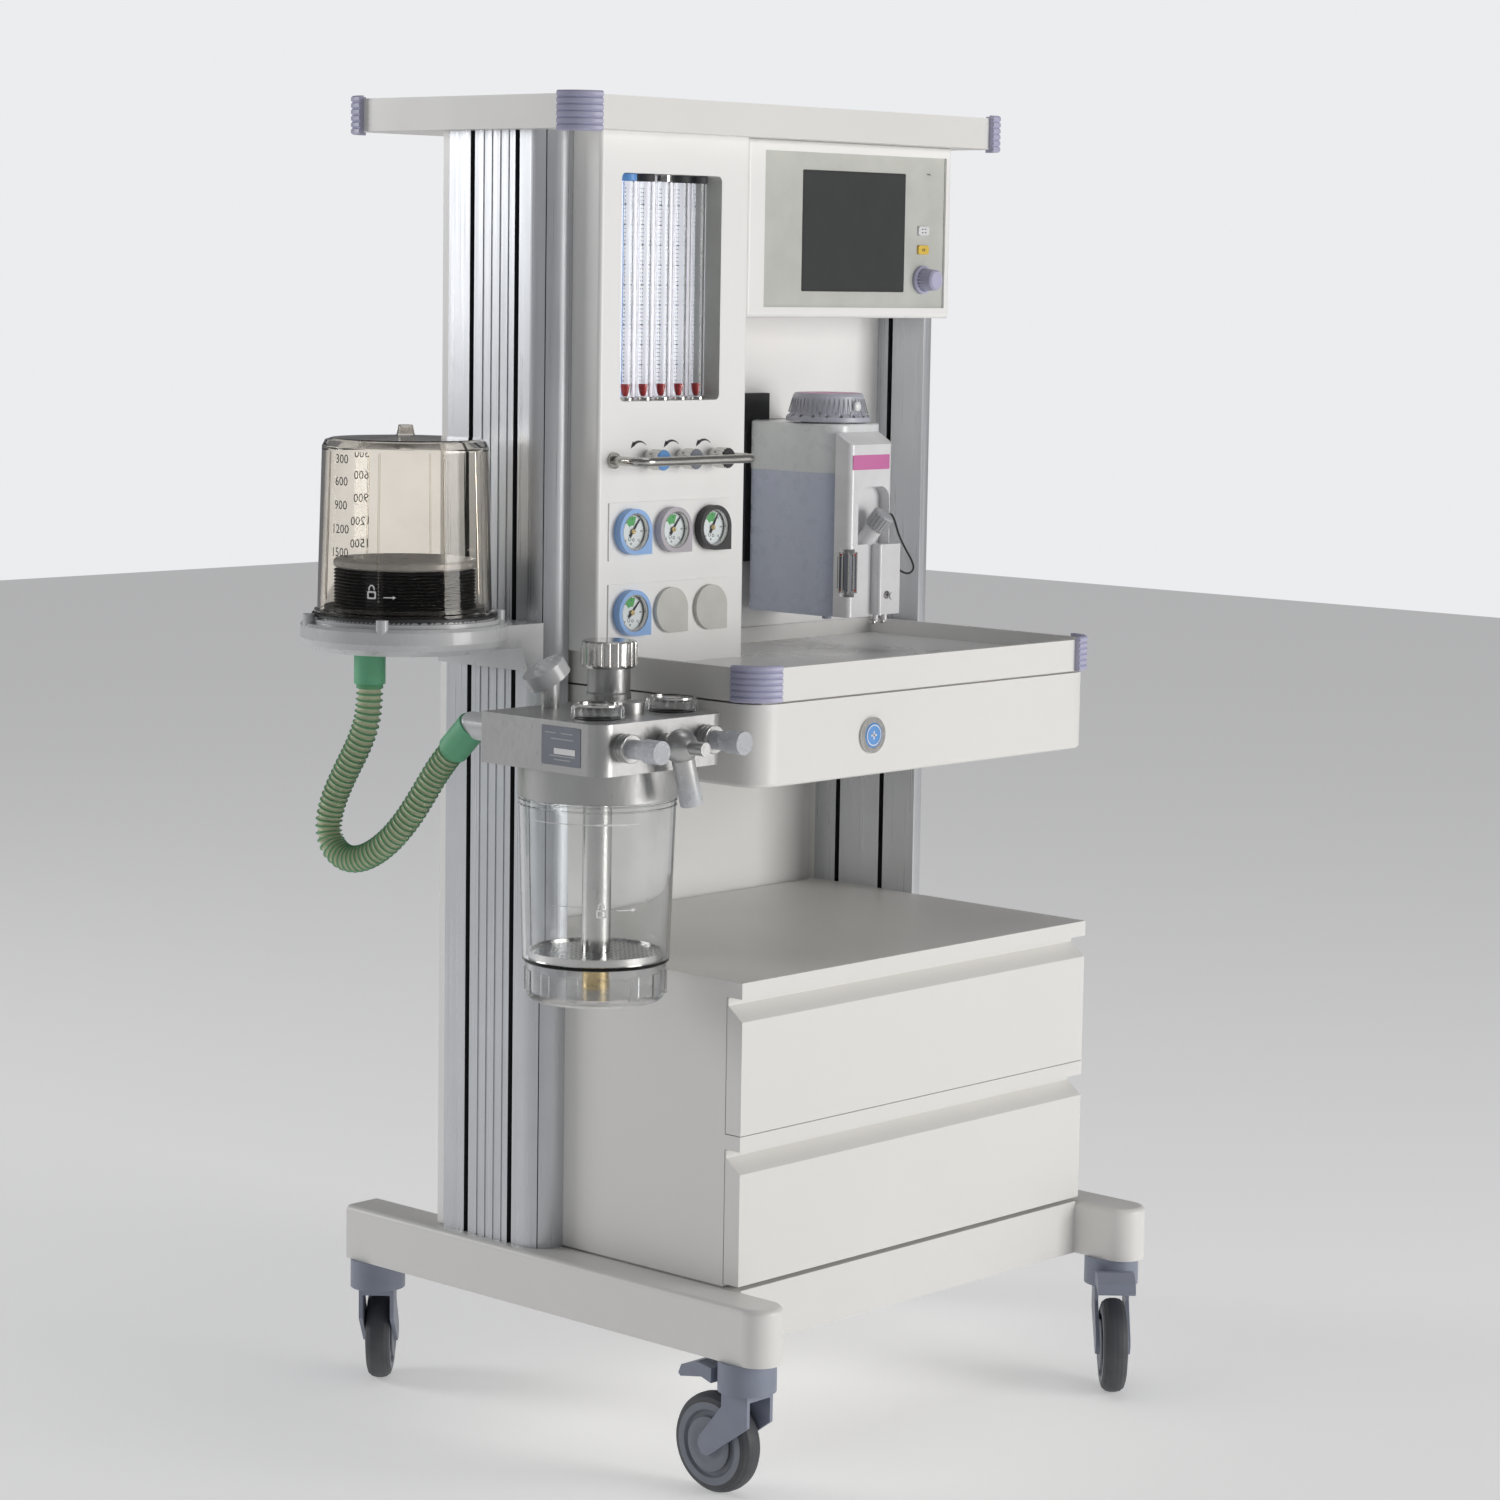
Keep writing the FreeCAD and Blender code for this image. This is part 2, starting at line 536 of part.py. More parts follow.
def drawer(low, high):
    """A folded front with a finger groove along its top, and an open tray behind it."""
    slope_top = f"{high} - grip_drop"
    slope_bottom = f"{high} - grip_drop - grip_slope"
    front = prism("YZ_Plane", [
        ("cabinet_front", f"{low} + front_gap"), ("cabinet_front", slope_bottom),
        ("cabinet_front + front_thickness - 1.5", slope_top),
        ("cabinet_front + front_thickness - 1.5", f"{high} - front_gap"),
        ("cabinet_front + front_thickness", f"{high} - front_gap"),
        ("cabinet_front + front_thickness", f"{low} + front_gap"),
    ], ("-body_half + reveal", "0", "0"), "2 * body_half - 2 * reveal")
    half = "body_half - tray_gap - reveal"
    back = "cabinet_front + front_thickness + drawer_depth"
    tray = box((f"-({half})", half), ("cabinet_front + front_thickness - 1", back),
               (f"{low} + 4", f"{high} - 28"))
    inside = box((f"-({half}) + sheet_wall", f"{half} - sheet_wall"),
                 ("cabinet_front + front_thickness + sheet_wall", f"{back} - sheet_wall"),
                 (f"{low} + 4 + sheet_wall", f"{high}"))
    return fuse(front, cut(tray, inside))


node("cabinet_shell", cabinet_shell())
for level, bay in BAYS.items():
    node(f"drawer_{level}", drawer(*bay))


# ---------------------------------------------------------------- worktop and top shelf

def corner_edges(x_limit, y_limit):
    """Accepts upright edges at |x| = x_limit and y = y_limit."""
    across, front = size(x_limit), size(y_limit)
    return lambda middle, along: (upright(middle, along) and abs(abs(middle.x) - across) < 0.1
                                  and abs(middle.y - front) < 0.1)


def worktop_housing():
    """The casing under the worktop, with a chrome ring around the flush button on its front."""
    blank = box(("-worktop_half", "worktop_half"), ("worktop_front", "wall_front"),
                ("housing_bottom", "seam_height - 2"))
    rounded_blank = rounded(blank, "worktop_radius", corner_edges("worktop_half", "worktop_front"))
    low, front = size("housing_bottom"), size("worktop_front")

    def lower_rim(middle, along):
        """The bottom edges of the front and the sides."""
        return abs(middle.z - low) < 0.1 and abs(along.z) < 0.01 and middle.y < size("wall_front") - 1

    casing = rounded(rounded_blank, "sheet_wall * 2", lower_rim)
    inside = box(("-worktop_half + worktop_radius * 0.6", "worktop_half - worktop_radius * 0.6"),
                 ("worktop_front + 14", "wall_front - sheet_wall"),
                 ("housing_bottom + sheet_wall", "seam_height"))
    ring = rod(("flush_x", f"{front} - 3", "flush_z"), "flush_ring_radius", "3.5", "y")
    bore = rod(("flush_x", f"{front} - 4", "flush_z"), "flush_radius + slack", "16.6", "y")
    return cut(fuse(cut(casing, inside), ring), bore)


def worktop_tray():
    """A shallow tray with a raised rim on three sides and a thin shadow line below it."""
    corner = corner_edges("worktop_half", "worktop_front")
    blank = box(("-worktop_half", "worktop_half"), ("worktop_front", "worktop_back"),
                ("seam_height", "worktop_rim"))
    outer = rounded(blank, "worktop_radius", corner)
    recess = box(("-worktop_half + rim_wall", "worktop_half - rim_wall"),
                 ("worktop_front + rim_wall", "worktop_back - rim_wall"), ("worktop_floor", "worktop_rim + 1"))
    front = size("worktop_front + rim_wall")
    inner = rounded(recess, "worktop_radius - rim_wall", lambda middle, along:
                    upright(middle, along) and abs(middle.y - front) < 0.1)
    seam = box(("-worktop_half + worktop_radius * 0.5", "worktop_half - worktop_radius * 0.5"),
               ("worktop_front + 8", "worktop_back"), ("seam_height - 2", "seam_height"))
    hollow = box(("-worktop_half + worktop_radius", "worktop_half - worktop_radius"),
                 ("worktop_front + worktop_radius", "worktop_back - 12"),
                 ("seam_height - 3", "worktop_floor - 3"))
    return cut(fuse(outer, seam), inner, hollow)


def bumper(at, turn, radius, bottom, top):
    """A quarter-round corner guard with rounded ridges around it."""
    outer = f"{radius} + bumper_wall"
    ridges = 6
    points = [(f"{radius} + 0.05", bottom)]
    for number in range(ridges):
        low = f"{bottom} + ({top} - ({bottom})) * {number / ridges:.4f}"
        high = f"{bottom} + ({top} - ({bottom})) * {(number + 1) / ridges:.4f}"
        points += [(f"{outer} - 1.6", f"{low} + 0.1"), (outer, f"{low} + 1.6"),
                   (outer, f"{high} - 1.6"), (f"{outer} - 1.6", f"{high} - 0.1")]
    points.append((f"{radius} + 0.05", top))
    body = lathe(points, (at[0], at[1], "0"), sector=90.0)
    body.Placement = Placement(Vector(), Rotation(Vector(0, 0, 1), turn))
    return body


def corner_bumpers():
    """Guards on the worktop's two front corners and the shelf's four corners."""
    guards = []
    reach, front = "worktop_half - worktop_radius", "worktop_front + worktop_radius"
    for x, turn in ((f"-({reach})", 180.0), (reach, 270.0)):
        guards.append(bumper((x, front), turn, "worktop_radius", "seam_height",
                             "worktop_rim + bumper_over"))
    reach = "shelf_half - shelf_radius"
    front, back = "shelf_front + shelf_radius", "shelf_back - shelf_radius"
    places = ((f"-({reach})", front, 180.0), (reach, front, 270.0),
              (reach, back, 0.0), (f"-({reach})", back, 90.0))
    for x, y, turn in places:
        guards.append(bumper((x, y), turn, "shelf_radius", "shelf_bottom - bumper_over",
                             "shelf_bottom + shelf_height + bumper_over"))
    return group(*guards)


def top_shelf():
    """A tray-shaped shelf with a rim all round."""
    rim = "shelf_bottom + shelf_height"
    blank = box(("-shelf_half", "shelf_half"), ("shelf_front", "shelf_back"), ("shelf_bottom", rim))
    outer = rounded(blank, "shelf_radius", upright)
    recess = box(("-shelf_half + shelf_wall", "shelf_half - shelf_wall"),
                 ("shelf_front + shelf_wall", "shelf_back - shelf_wall"),
                 ("shelf_bottom + shelf_floor", f"{rim} + 1"))
    return cut(outer, rounded(recess, "shelf_radius - shelf_wall", upright))


node("worktop_housing", worktop_housing())
node("worktop_tray", worktop_tray())
node("top_shelf", top_shelf())
node("corner_bumpers", corner_bumpers())
node("flush_button", lathe([("0", "-8"), ("flush_radius", "-8"), ("flush_radius", "2.4"),
                            ("flush_radius - 1", "3.4"), ("0", "3.4")],
                           ("flush_x", "worktop_front", "flush_z"), "-y"))


# ---------------------------------------------------------------- flow panel

def knob_place(number):
    """Across-the-panel position of a flow control knob, counted from the left."""
    return f"knob_first + {number} * knob_pitch"


def gauge_places():
    """Centres of the four gauges and then the two blanks."""
    columns = [f"gauge_first + {number} * gauge_pitch" for number in range(3)]
    places = [(x, "gauge_upper") for x in columns] + [(x, "gauge_lower") for x in columns]
    return places[:4], places[4:]


def flow_panel():
    """A tall casing, open at the back, with a deep flowmeter window in its upper half."""
    left = "-body_half + reveal"
    upper = box((left, "flow_right"), ("flow_front", "wall_front"), ("worktop_rim + reveal", "shelf_bottom"))
    lower = box(("-worktop_half + rim_wall + reveal", "flow_right"),
                ("flow_front", "worktop_back - rim_wall - reveal"), ("worktop_floor", "worktop_rim + 1"))
    front = size("flow_front")
    casing = rounded(fuse(upper, lower), "sheet_wall * 2", lambda middle, along:
                     upright(middle, along) and abs(middle.y - front) < 0.1 and along.Length > 200)
    hollow = box((f"{left} + sheet_wall", "flow_right - sheet_wall"),
                 ("flow_front + 5", "wall_front + 1"), ("worktop_rim + 4", "shelf_bottom - sheet_wall"))
    liner = box(("window_left - sheet_wall", "window_right + sheet_wall"),
                ("flow_front + 1", "flow_front + window_deep"),
                ("window_bottom - sheet_wall", "window_top + sheet_wall"))
    window = rounded(box(("window_left", "window_right"),
                         ("flow_front - 1", "flow_front + window_deep - sheet_wall"),
                         ("window_bottom", "window_top")), "sheet_wall * 3",
                     lambda middle, along: abs(along.y) > 0.9 * along.Length)
    bores = [rod((knob_place(number), "flow_front - 1", "knob_z"), "knob_shaft + slack", "7", "y")
             for number in range(3)]
    return cut(fuse(cut(casing, hollow), liner), window, *bores)


def flow_tubes():
    """Five bored glass tubes between the bottom and the top of the window."""
    tubes = []
    for number in range(5):
        at = (f"tube_first + {number} * tube_pitch", "tube_y", "window_bottom + 0.2")
        outer = rod(at, "tube_radius", "window_top - window_bottom - 0.4")
        bore = rod((at[0], at[1], "window_bottom + 4"), "tube_bore", "window_top - window_bottom - 8")
        tubes.append(cut(outer, bore))
    return group(*tubes)


def flow_float(number):
    """A small bobbin that stands at the bottom of its tube."""
    return lathe([("0", "0"), ("float_radius * 0.5", "0"), ("float_radius * 0.8", "float_height * 0.3"),
                  ("float_radius", "float_height * 0.75"), ("float_radius", "float_height"),
                  ("0", "float_height")],
                 (f"tube_first + {number} * tube_pitch", "tube_y", "window_bottom + 4.3"))


def flow_knob(number):
    """A fluted knob that points forward on a short shaft."""
    knob = lathe([("0", "-4"), ("knob_shaft", "-4"), ("knob_shaft", "reveal"),
                  ("knob_radius * 0.8", "reveal"), ("knob_radius * 0.8", "knob_length * 0.3"),
                  ("knob_radius", "knob_length * 0.36"), ("knob_radius", "knob_length - 1.5"),
                  ("knob_radius - 1.5", "knob_length"), ("0", "knob_length")],
                 (knob_place(number), "flow_front", "knob_z"), "-y")
    return flute(knob, 16, "knob_radius + 0.5", "1.2")


def knob_guard():
    """A round bar held in front of the flow knobs by its two bent legs."""
    left, right = size("guard_left + origin_x"), size("guard_right + origin_x")
    panel = size("flow_front + origin_y")
    bar = panel - size("guard_reach")
    height, bend = size("knob_z"), 3.0 * size("guard_radius")
    slope = bend * (1 - math.sqrt(0.5))
    corners = [Vector(left, panel, height), Vector(left, bar + bend, height),
               Vector(left + slope, bar + slope, height), Vector(left + bend, bar, height),
               Vector(right - bend, bar, height), Vector(right - slope, bar + slope, height),
               Vector(right, bar + bend, height), Vector(right, panel, height)]
    path = Part.Wire([Part.LineSegment(corners[0], corners[1]).toShape(),
                      Part.Arc(*corners[1:4]).toShape(),
                      Part.LineSegment(corners[3], corners[4]).toShape(),
                      Part.Arc(*corners[4:7]).toShape(),
                      Part.LineSegment(corners[6], corners[7]).toShape()])
    ring = Part.Wire(Part.makeCircle(size("guard_radius"), corners[0], Vector(0, -1, 0)))
    shape = path.makePipeShell([ring], True, True)
    for x in (left, right):
        flange = Part.makeCylinder(size("guard_radius") + 3.5, 3.0, Vector(x, panel, height),
                                   Vector(0, -1, 0))
        shape = shape.fuse(flange)
    item = doc.addObject("Part::Feature", "Guard")
    item.Shape = shape
    return item


def teardrop(x, z, depth):
    """A round block whose lower right quarter is square."""
    disc = rod((x, "flow_front - plate_thick", z), "gauge_radius", depth, "-y")
    corner = box((x, f"{x} + gauge_radius"), (f"flow_front - plate_thick - ({depth})",
                                              "flow_front - plate_thick"), (f"{z} - gauge_radius", z))
    return fuse(disc, corner)


def gauge_panel():
    """Two plates on the flow panel, four teardrop gauge cases and two blank covers."""
    middle = "gauge_first + gauge_pitch"
    plates = [box((f"{middle} - plate_half_wide", f"{middle} + plate_half_wide"),
                  ("flow_front - plate_thick", "flow_front"),
                  (f"{z} - plate_half_high", f"{z} + plate_half_high")) for z in ("gauge_upper", "gauge_lower")]
    gauges, blanks = gauge_places()
    cases = [cut(teardrop(x, z, "gauge_depth"),
                 rod((x, "flow_front - plate_thick - gauge_depth + dial_deep", z), "dial_radius",
                     "dial_deep + 1", "-y")) for x, z in gauges]
    covers = [teardrop(x, z, "gauge_depth * 0.5") for x, z in blanks]
    return group(*[fuse(plate, *(cases[3 * row:3 * row + 3] + covers * row))
                   for row, plate in enumerate(plates)])


def needle(x, z, angle):
    """A tapered pointer with a tail and a round hub; angle 0 points straight up."""
    body = doc.addObject("PartDesign::Body", "Needle")
    sketch = outline(body, "XZ_Plane", [("-1.3", "-6"), ("1.3", "-6"), ("0.35", "dial_radius * 0.82"),
                                        ("-0.35", "dial_radius * 0.82")])
    pad = body.newObject("PartDesign::Pad", "Pad")
    pad.Profile = sketch
    pad.Length = 0.8
    hub = body.newObject("Sketcher::SketchObject", "Hub")
    hub.AttachmentSupport = [(origin_item(body, "XZ_Plane"), "")]
    hub.MapMode = "FlatFace"
    hub.addGeometry(Part.Circle(Vector(), Vector(0, 0, 1), 2.6), False)
    hub.addConstraint(Sketcher.Constraint("Coincident", 0, 3, -1, 1))
    hub.addConstraint(Sketcher.Constraint("Radius", 0, 2.6))
    boss = body.newObject("PartDesign::Pad", "Boss")
    boss.Profile = hub
    boss.Length = 2.0
    body.Placement = Placement(Vector(), Rotation(Vector(0, 1, 0), angle))
    return bind(body, x=x, y="flow_front - plate_thick - gauge_depth + dial_deep - 0.6", z=z)


node("flow_panel", flow_panel())
node("flow_tubes", flow_tubes())
node("floats_oxygen", group(flow_float(0), flow_float(1)))
node("floats_nitrous", group(flow_float(2), flow_float(3)))
node("float_air", flow_float(4))
for order, gas in enumerate(("oxygen", "nitrous", "air")):
    node(f"flow_knob_{gas}", flow_knob(order))
node("knob_guard", knob_guard())
node("gauge_panel", gauge_panel())
GAUGES = ("oxygen_pipeline", "nitrous_pipeline", "air_pipeline", "oxygen_cylinder")
for supply, place, rest in zip(GAUGES, gauge_places()[0], (38.0, 38.0, 30.0, 44.0)):
    node(f"gauge_needle_{supply}", needle(*place, rest))


# ---------------------------------------------------------------- display module

def display_housing():
    """The monitor casing beside the flow panel, with a recessed plate for screen and controls."""
    left, right = "flow_right + reveal", "body_half - reveal"
    blank = box((left, right), ("display_front", "wall_front"), ("display_bottom", "shelf_bottom"))
    front = size("display_front")
    casing = rounded(blank, "sheet_wall * 2.5", lambda middle, along:
                     abs(middle.y - front) < 0.1)
    hollow = box((f"{left} + sheet_wall", f"{right} - sheet_wall"),
                 ("display_front + 12", "wall_front + 1"),
                 ("display_bottom + sheet_wall", "shelf_bottom - sheet_wall"))
    recess = box(("plate_left", "plate_right"), ("display_front - 1", "display_front + plate_recess"),
                 ("plate_bottom", "plate_top"))
    pocket = box(("screen_left - 0.1", "screen_right + 0.1"),
                 ("display_front", "display_front + plate_recess + screen_thick"),
                 ("screen_bottom - 0.1", "screen_top + 0.1"))
    wells = [box(("control_x - button_wide / 2 - slack", "control_x + button_wide / 2 + slack"),
                 ("display_front", "display_front + plate_recess + 7"),
                 (f"{z} - button_high / 2 - slack", f"{z} + button_high / 2 + slack"))
             for z in ("mute_z", "standby_z")]
    bore = rod(("control_x", "display_front", "encoder_z"), "knob_shaft + slack", "10", "y")
    return cut(casing, hollow, recess, pocket, bore, *wells)


def display_button(height):
    """A flat rectangular push button that stands a little out of the plate."""
    face = "display_front + plate_recess"
    blank = box(("control_x - button_wide / 2", "control_x + button_wide / 2"),
                (f"{face} - 2.2", f"{face} + 5"), (f"{height} - button_high / 2", f"{height} + button_high / 2"))
    return rounded(blank, "button_high * 0.3", lambda middle, along: abs(along.y) > 0.9 * along.Length)


node("display_housing", display_housing())
node("display_screen", box(("screen_left", "screen_right"),
                           ("display_front + plate_recess - 0.5", "display_front + plate_recess + screen_thick"),
                           ("screen_bottom", "screen_top")))
node("display_knob", flute(lathe([
    ("0", "-7"), ("knob_shaft", "-7"), ("knob_shaft", "reveal"), ("encoder_radius + 2", "reveal"),
    ("encoder_radius + 2", "3.5"), ("encoder_radius - 1", "5"), ("encoder_radius - 2", "encoder_length - 2"),
    ("encoder_radius - 4", "encoder_length"), ("0", "encoder_length")],
    ("control_x", "display_front + plate_recess", "encoder_z"), "-y"), 20, "encoder_radius - 1", "0.8"))
node("display_mute_button", display_button("mute_z"))
node("display_standby_button", display_button("standby_z"))


# ---------------------------------------------------------------- vaporizer

def vaporizer_mount():
    """A back plate on the inner wall with the lock block that carries the vaporizer."""
    plate = box(("vapor_left + 5", "vapor_right - 8"), ("vapor_back + reveal", "wall_front"),
                ("vapor_bottom + 50", "vapor_top"))
    lock = box(("vapor_left - 25", "dial_x"), ("vapor_back + reveal", "wall_front"),
               ("vapor_top", "vapor_top + 28"))
    return fuse(plate, lock)


def vaporizer_body():
    """The tall case, its upper part a little wider at the back, with two small feet."""
    lower = box(("vapor_left", "vapor_right"), ("vapor_front", "vapor_back"),
                ("vapor_bottom", "vapor_seam"))
    upper = box(("vapor_left - 0.6", "vapor_right + 0.6"), ("vapor_front - 0.6", "vapor_back"),
                ("vapor_seam", "vapor_top"))
    shells = [rounded(part, "vapor_radius", upright) for part in (lower, upper)]
    top = size("vapor_top")
    upper_shell = rounded(shells[1], "2.5", lambda middle, along: abs(middle.z - top) < 0.1)
    feet = [rod((x, "vapor_front + 30", "vapor_bottom - 5"), "5", "6")
            for x in ("vapor_left + 26", "vapor_right - 22")]
    collar = rod(("dial_x", "dial_y", "vapor_top - 1"), "dial_top_radius - 8", "2")
    return fuse(shells[0], upper_shell, collar, *feet)


def vaporizer_front():
    """The white fascia with a sloping top, a filler recess and a lower drain block."""
    slope = size("face_top") - 12.0
    face = prism("YZ_Plane", [
        ("vapor_front - 0.8", "vapor_bottom + 0.5"), ("face_front", "vapor_bottom + 0.5"),
        ("face_front", f"{slope}"), ("vapor_front - 0.8", "face_top")],
        ("face_left", "0", "0"), "face_right - face_left")
    front = size("face_front")
    chamfered = rounded(face, "face_wall", lambda middle, along: upright(middle, along)
                        and abs(middle.y - front) < 0.1)
    base = box(("low_left", "low_right"), ("low_front", "vapor_front - 1"),
               ("vapor_bottom + 3", "low_top"))
    low_front = size("low_front")
    block = rounded(base, "3", lambda middle, along: upright(middle, along)
                    and abs(middle.y - low_front) < 0.1)
    niche_middle = size("niche_top") - 1
    niche = rounded(box(("niche_left", "niche_right"), ("face_front - 1", "face_front + niche_deep"),
                        ("low_top", "niche_top")), "14",
                    lambda middle, along: abs(along.y) > 0.9 * along.Length
                    and middle.z > niche_middle)
    sight = box(("face_left - 1", "face_left + 9"), ("face_front - 1", "face_front + 12"),
                ("vapor_bottom + 22", "vapor_bottom + 72"))
    neck = rod(("filler_x", "filler_y", "filler_z"), "filler_radius - 2.5", "filler_neck")
    neck.Placement = turned_to(filler_axis())
    screw = rod(("low_left + 20", "low_front + 1", "vapor_bottom + 22"), "4", "2.5", "-y")
    drains = [rod((x, "low_front + 12", "vapor_bottom - 5"), "3.2", "9")
              for x in ("low_left + 8", "low_left + 22")]
    return fuse(cut(fuse(chamfered, block), niche, sight), neck, screw, *drains)


def filler_axis():
    """The direction in which the filler cap unscrews: up, forward and a little to one side."""
    tilt, turn = math.radians(size("filler_tilt")), math.radians(size("filler_turn"))
    return (math.sin(tilt) * math.sin(-turn), -math.sin(tilt) * math.cos(turn), math.cos(tilt))


node("vaporizer_mount", vaporizer_mount())
node("vaporizer_body", vaporizer_body())
node("vaporizer_front", vaporizer_front())
node("vaporizer_dial", flute(lathe([
    ("0", "reveal"), ("dial_low_radius", "reveal"), ("dial_low_radius", "5"),
    ("dial_low_radius - 5", "9"), ("dial_top_radius + 1", "dial_height - 3"),
    ("dial_top_radius - 1", "dial_height"), ("0", "dial_height")],
    ("dial_x", "dial_y", "vapor_top + 1")), 18, "dial_top_radius + 5.5", "2.2", "dial_height + 5"))
node("vaporizer_filler_cap", flute(lathe([
    ("0", "filler_neck + 0.3"), ("filler_radius - 1.5", "filler_neck + 0.3"),
    ("filler_radius", "filler_neck + 2"), ("filler_radius", "filler_neck + filler_height - 2"),
    ("filler_radius - 2", "filler_neck + filler_height"), ("0", "filler_neck + filler_height")],
    ("filler_x", "filler_y", "filler_z"), filler_axis()), 18, "filler_radius + 0.4", "1.1"))


# ---------------------------------------------------------------- bellows

def bellows_base():
    """A round tray on a wedge-shaped arm, with the dome's dark seat and the hose cuff below."""
    tray = lathe([("0", "base_bottom"), ("base_radius - 14", "base_bottom"),
                  ("base_radius - 3", "base_bottom + 6"), ("base_radius", "base_bottom + 12"),
                  ("base_radius", "base_top - 9"), ("base_radius - 2.5", "base_top - 6"),
                  ("base_radius - 9", "base_top - 6"), ("base_radius - 9", "base_top - 2"),
                  ("flange_radius", "base_top - 2"), ("flange_radius", "base_top + 1"),
                  ("dome_radius - 7", "base_top + 1"), ("dome_radius - 7", "flange_top - 1"),
                  ("0", "flange_top - 1")], ("bellows_x", "bellows_y", "0"))
    arm = prism("XZ_Plane", [
        ("bellows_x + 50", "base_bottom + 1"), ("bellows_x + base_radius - 16", "base_bottom + 1"),
        ("-body_half - column_wide - 22", "arm_foot"), ("-body_half - column_wide - rib_height", "arm_foot"),
        ("-body_half - column_wide - rib_height", "base_top - 9"), ("bellows_x + 50", "base_top - 9")],
        ("0", "arm_back", "0"), "arm_back - column_front - 4")
    cuff = rod(("cuff_x", "cuff_y", "cuff_bottom"), "cuff_radius", "base_bottom + 1 - cuff_bottom")
    tabs = []
    for angle in (35.0, 155.0, 215.0, 335.0):
        reach = f"base_radius * {math.cos(math.radians(angle)):.5f}"
        depth = f"base_radius * {math.sin(math.radians(angle)):.5f}"
        tabs.append(rod((f"bellows_x + {reach} - 5 * {reach} / base_radius",
                         f"bellows_y + {depth} - 5 * {depth} / base_radius", "base_top - 10"), "6", "13"))
    return fuse(tray, arm, cuff, *tabs)


def bellows_dome():
    """A clear dome with a rim, a slight taper and a vent nub on top."""
    inner, upper = "dome_radius - dome_wall", "dome_upper_radius - dome_wall"
    return lathe([
        (inner, "base_top + 1.3"), ("flange_radius", "base_top + 1.3"), ("flange_radius", "base_top + 6"),
        ("dome_radius", "base_top + 7"), ("dome_upper_radius + 1", "dome_top - 8"),
        ("dome_upper_radius - 2", "dome_top - 2"), ("dome_upper_radius - 8", "dome_top"),
        ("9", "dome_top + 3"), ("7", "dome_top + nub_height"), ("0", "dome_top + nub_height"),
        ("0", "dome_top"), (f"{upper} - 7", "dome_top - dome_wall - 0.5"),
        (f"{upper} - 1", "dome_top - dome_wall - 6"), (upper, "dome_top - dome_wall - 9")],
        ("bellows_x", "bellows_y", "0"))


def bellows_folds():
    """The folded rubber bellows at rest, collapsed on its seat."""
    folds = 5
    height = f"(disc_bottom - flange_top) * {1 / folds:.4f}"
    points = [("0", "flange_top")]
    for number in range(folds):
        points += [("fold_inner", f"flange_top + {height} * {number}"),
                   ("fold_radius", f"flange_top + {height} * {number + 0.5}")]
    points += [("fold_inner", "disc_bottom"), ("0", "disc_bottom")]
    return lathe(points, ("bellows_x", "bellows_y", "0"))


node("bellows_base", bellows_base())
node("bellows_dome", bellows_dome())
node("bellows_folds", bellows_folds())
node("bellows_disc", lathe([("0", "disc_bottom"), ("fold_radius - 3", "disc_bottom"),
                            ("fold_radius", "disc_bottom + 2"),
                            ("fold_radius", "disc_bottom + disc_height - 2"),
                            ("fold_radius - 2", "disc_bottom + disc_height"),
                            ("0", "disc_bottom + disc_height")], ("bellows_x", "bellows_y", "0")))


# ---------------------------------------------------------------- breathing block and absorber

def breathing_block():
    """A machined block with a round collar for the absorber and an arm to the worktop."""
    blank = box(("block_left", "block_right"), ("block_front", "block_back"), ("block_bottom", "block_top"))
    front = size("block_front")
    block = rounded(blank, "block_radius", lambda middle, along:
                    upright(middle, along) and abs(middle.y - front) < 0.1)
    collar = lathe([("0", "collar_bottom + 6"), ("canister_radius - 6", "collar_bottom + 6"),
                    ("canister_radius - 6", "collar_bottom"), ("collar_radius", "collar_bottom"),
                    ("collar_radius", "block_bottom + 1"), ("0", "block_bottom + 1")],
                   ("absorber_x", "absorber_y", "0"))
    arm = box(("block_right - 1", "-worktop_half - 0.1"), ("block_front + 50", "block_back - 12"),
              ("block_bottom + 4", "block_top - 6"))
    return fuse(block, collar, arm)


def valve_cap(x):
    """A ribbed see-through screw cap over a valve disc."""
    return flute(lathe([("0", "0"), ("valve_radius - 3", "0"), ("valve_radius - 3", "2"),
                        ("valve_radius", "2"), ("valve_radius", "valve_height - 1.5"),
                        ("valve_radius - 1.5", "valve_height"), ("0", "valve_height")],
                       (x, "valve_y", "block_top")), 20, "valve_radius + 0.6", "1.8")


def capped_port(x):
    """A collar and its push-on cap on the front of the block."""
    collar = rod((x, "block_front", "port_z"), "port_radius", "port_length", "-y")
    cap = lathe([("0", "port_length"), ("cap_radius - 2", "port_length"),
                 ("cap_radius - 2", "port_length + cap_length * 0.5"),
                 ("cap_radius", "port_length + cap_length * 0.5"),
                 ("cap_radius", "port_length + cap_length"), ("0", "port_length + cap_length")],
                (x, "block_front", "port_z"), "-y")
    return fuse(collar, cap)


def back_port():
    """The hose port behind the block, bending down into the hose's green cuff."""
    straight = rod(("port_back_x", "block_back", "port_back_z"), "cuff_radius - 2",
                   "port_back_reach", "y")
    knuckle = doc.addObject("Part::Sphere", "Knuckle")
    bind(knuckle, x="port_back_x", y="block_back + port_back_reach", z="port_back_z",
         Radius="cuff_radius - 1.9")
    cuff = rod(("port_back_x", "block_back + port_back_reach", "port_back_z"), "cuff_radius", "cuff_length")
    cuff.Placement = turned_to(CUFF_AXIS)
    return fuse(straight, knuckle, cuff)


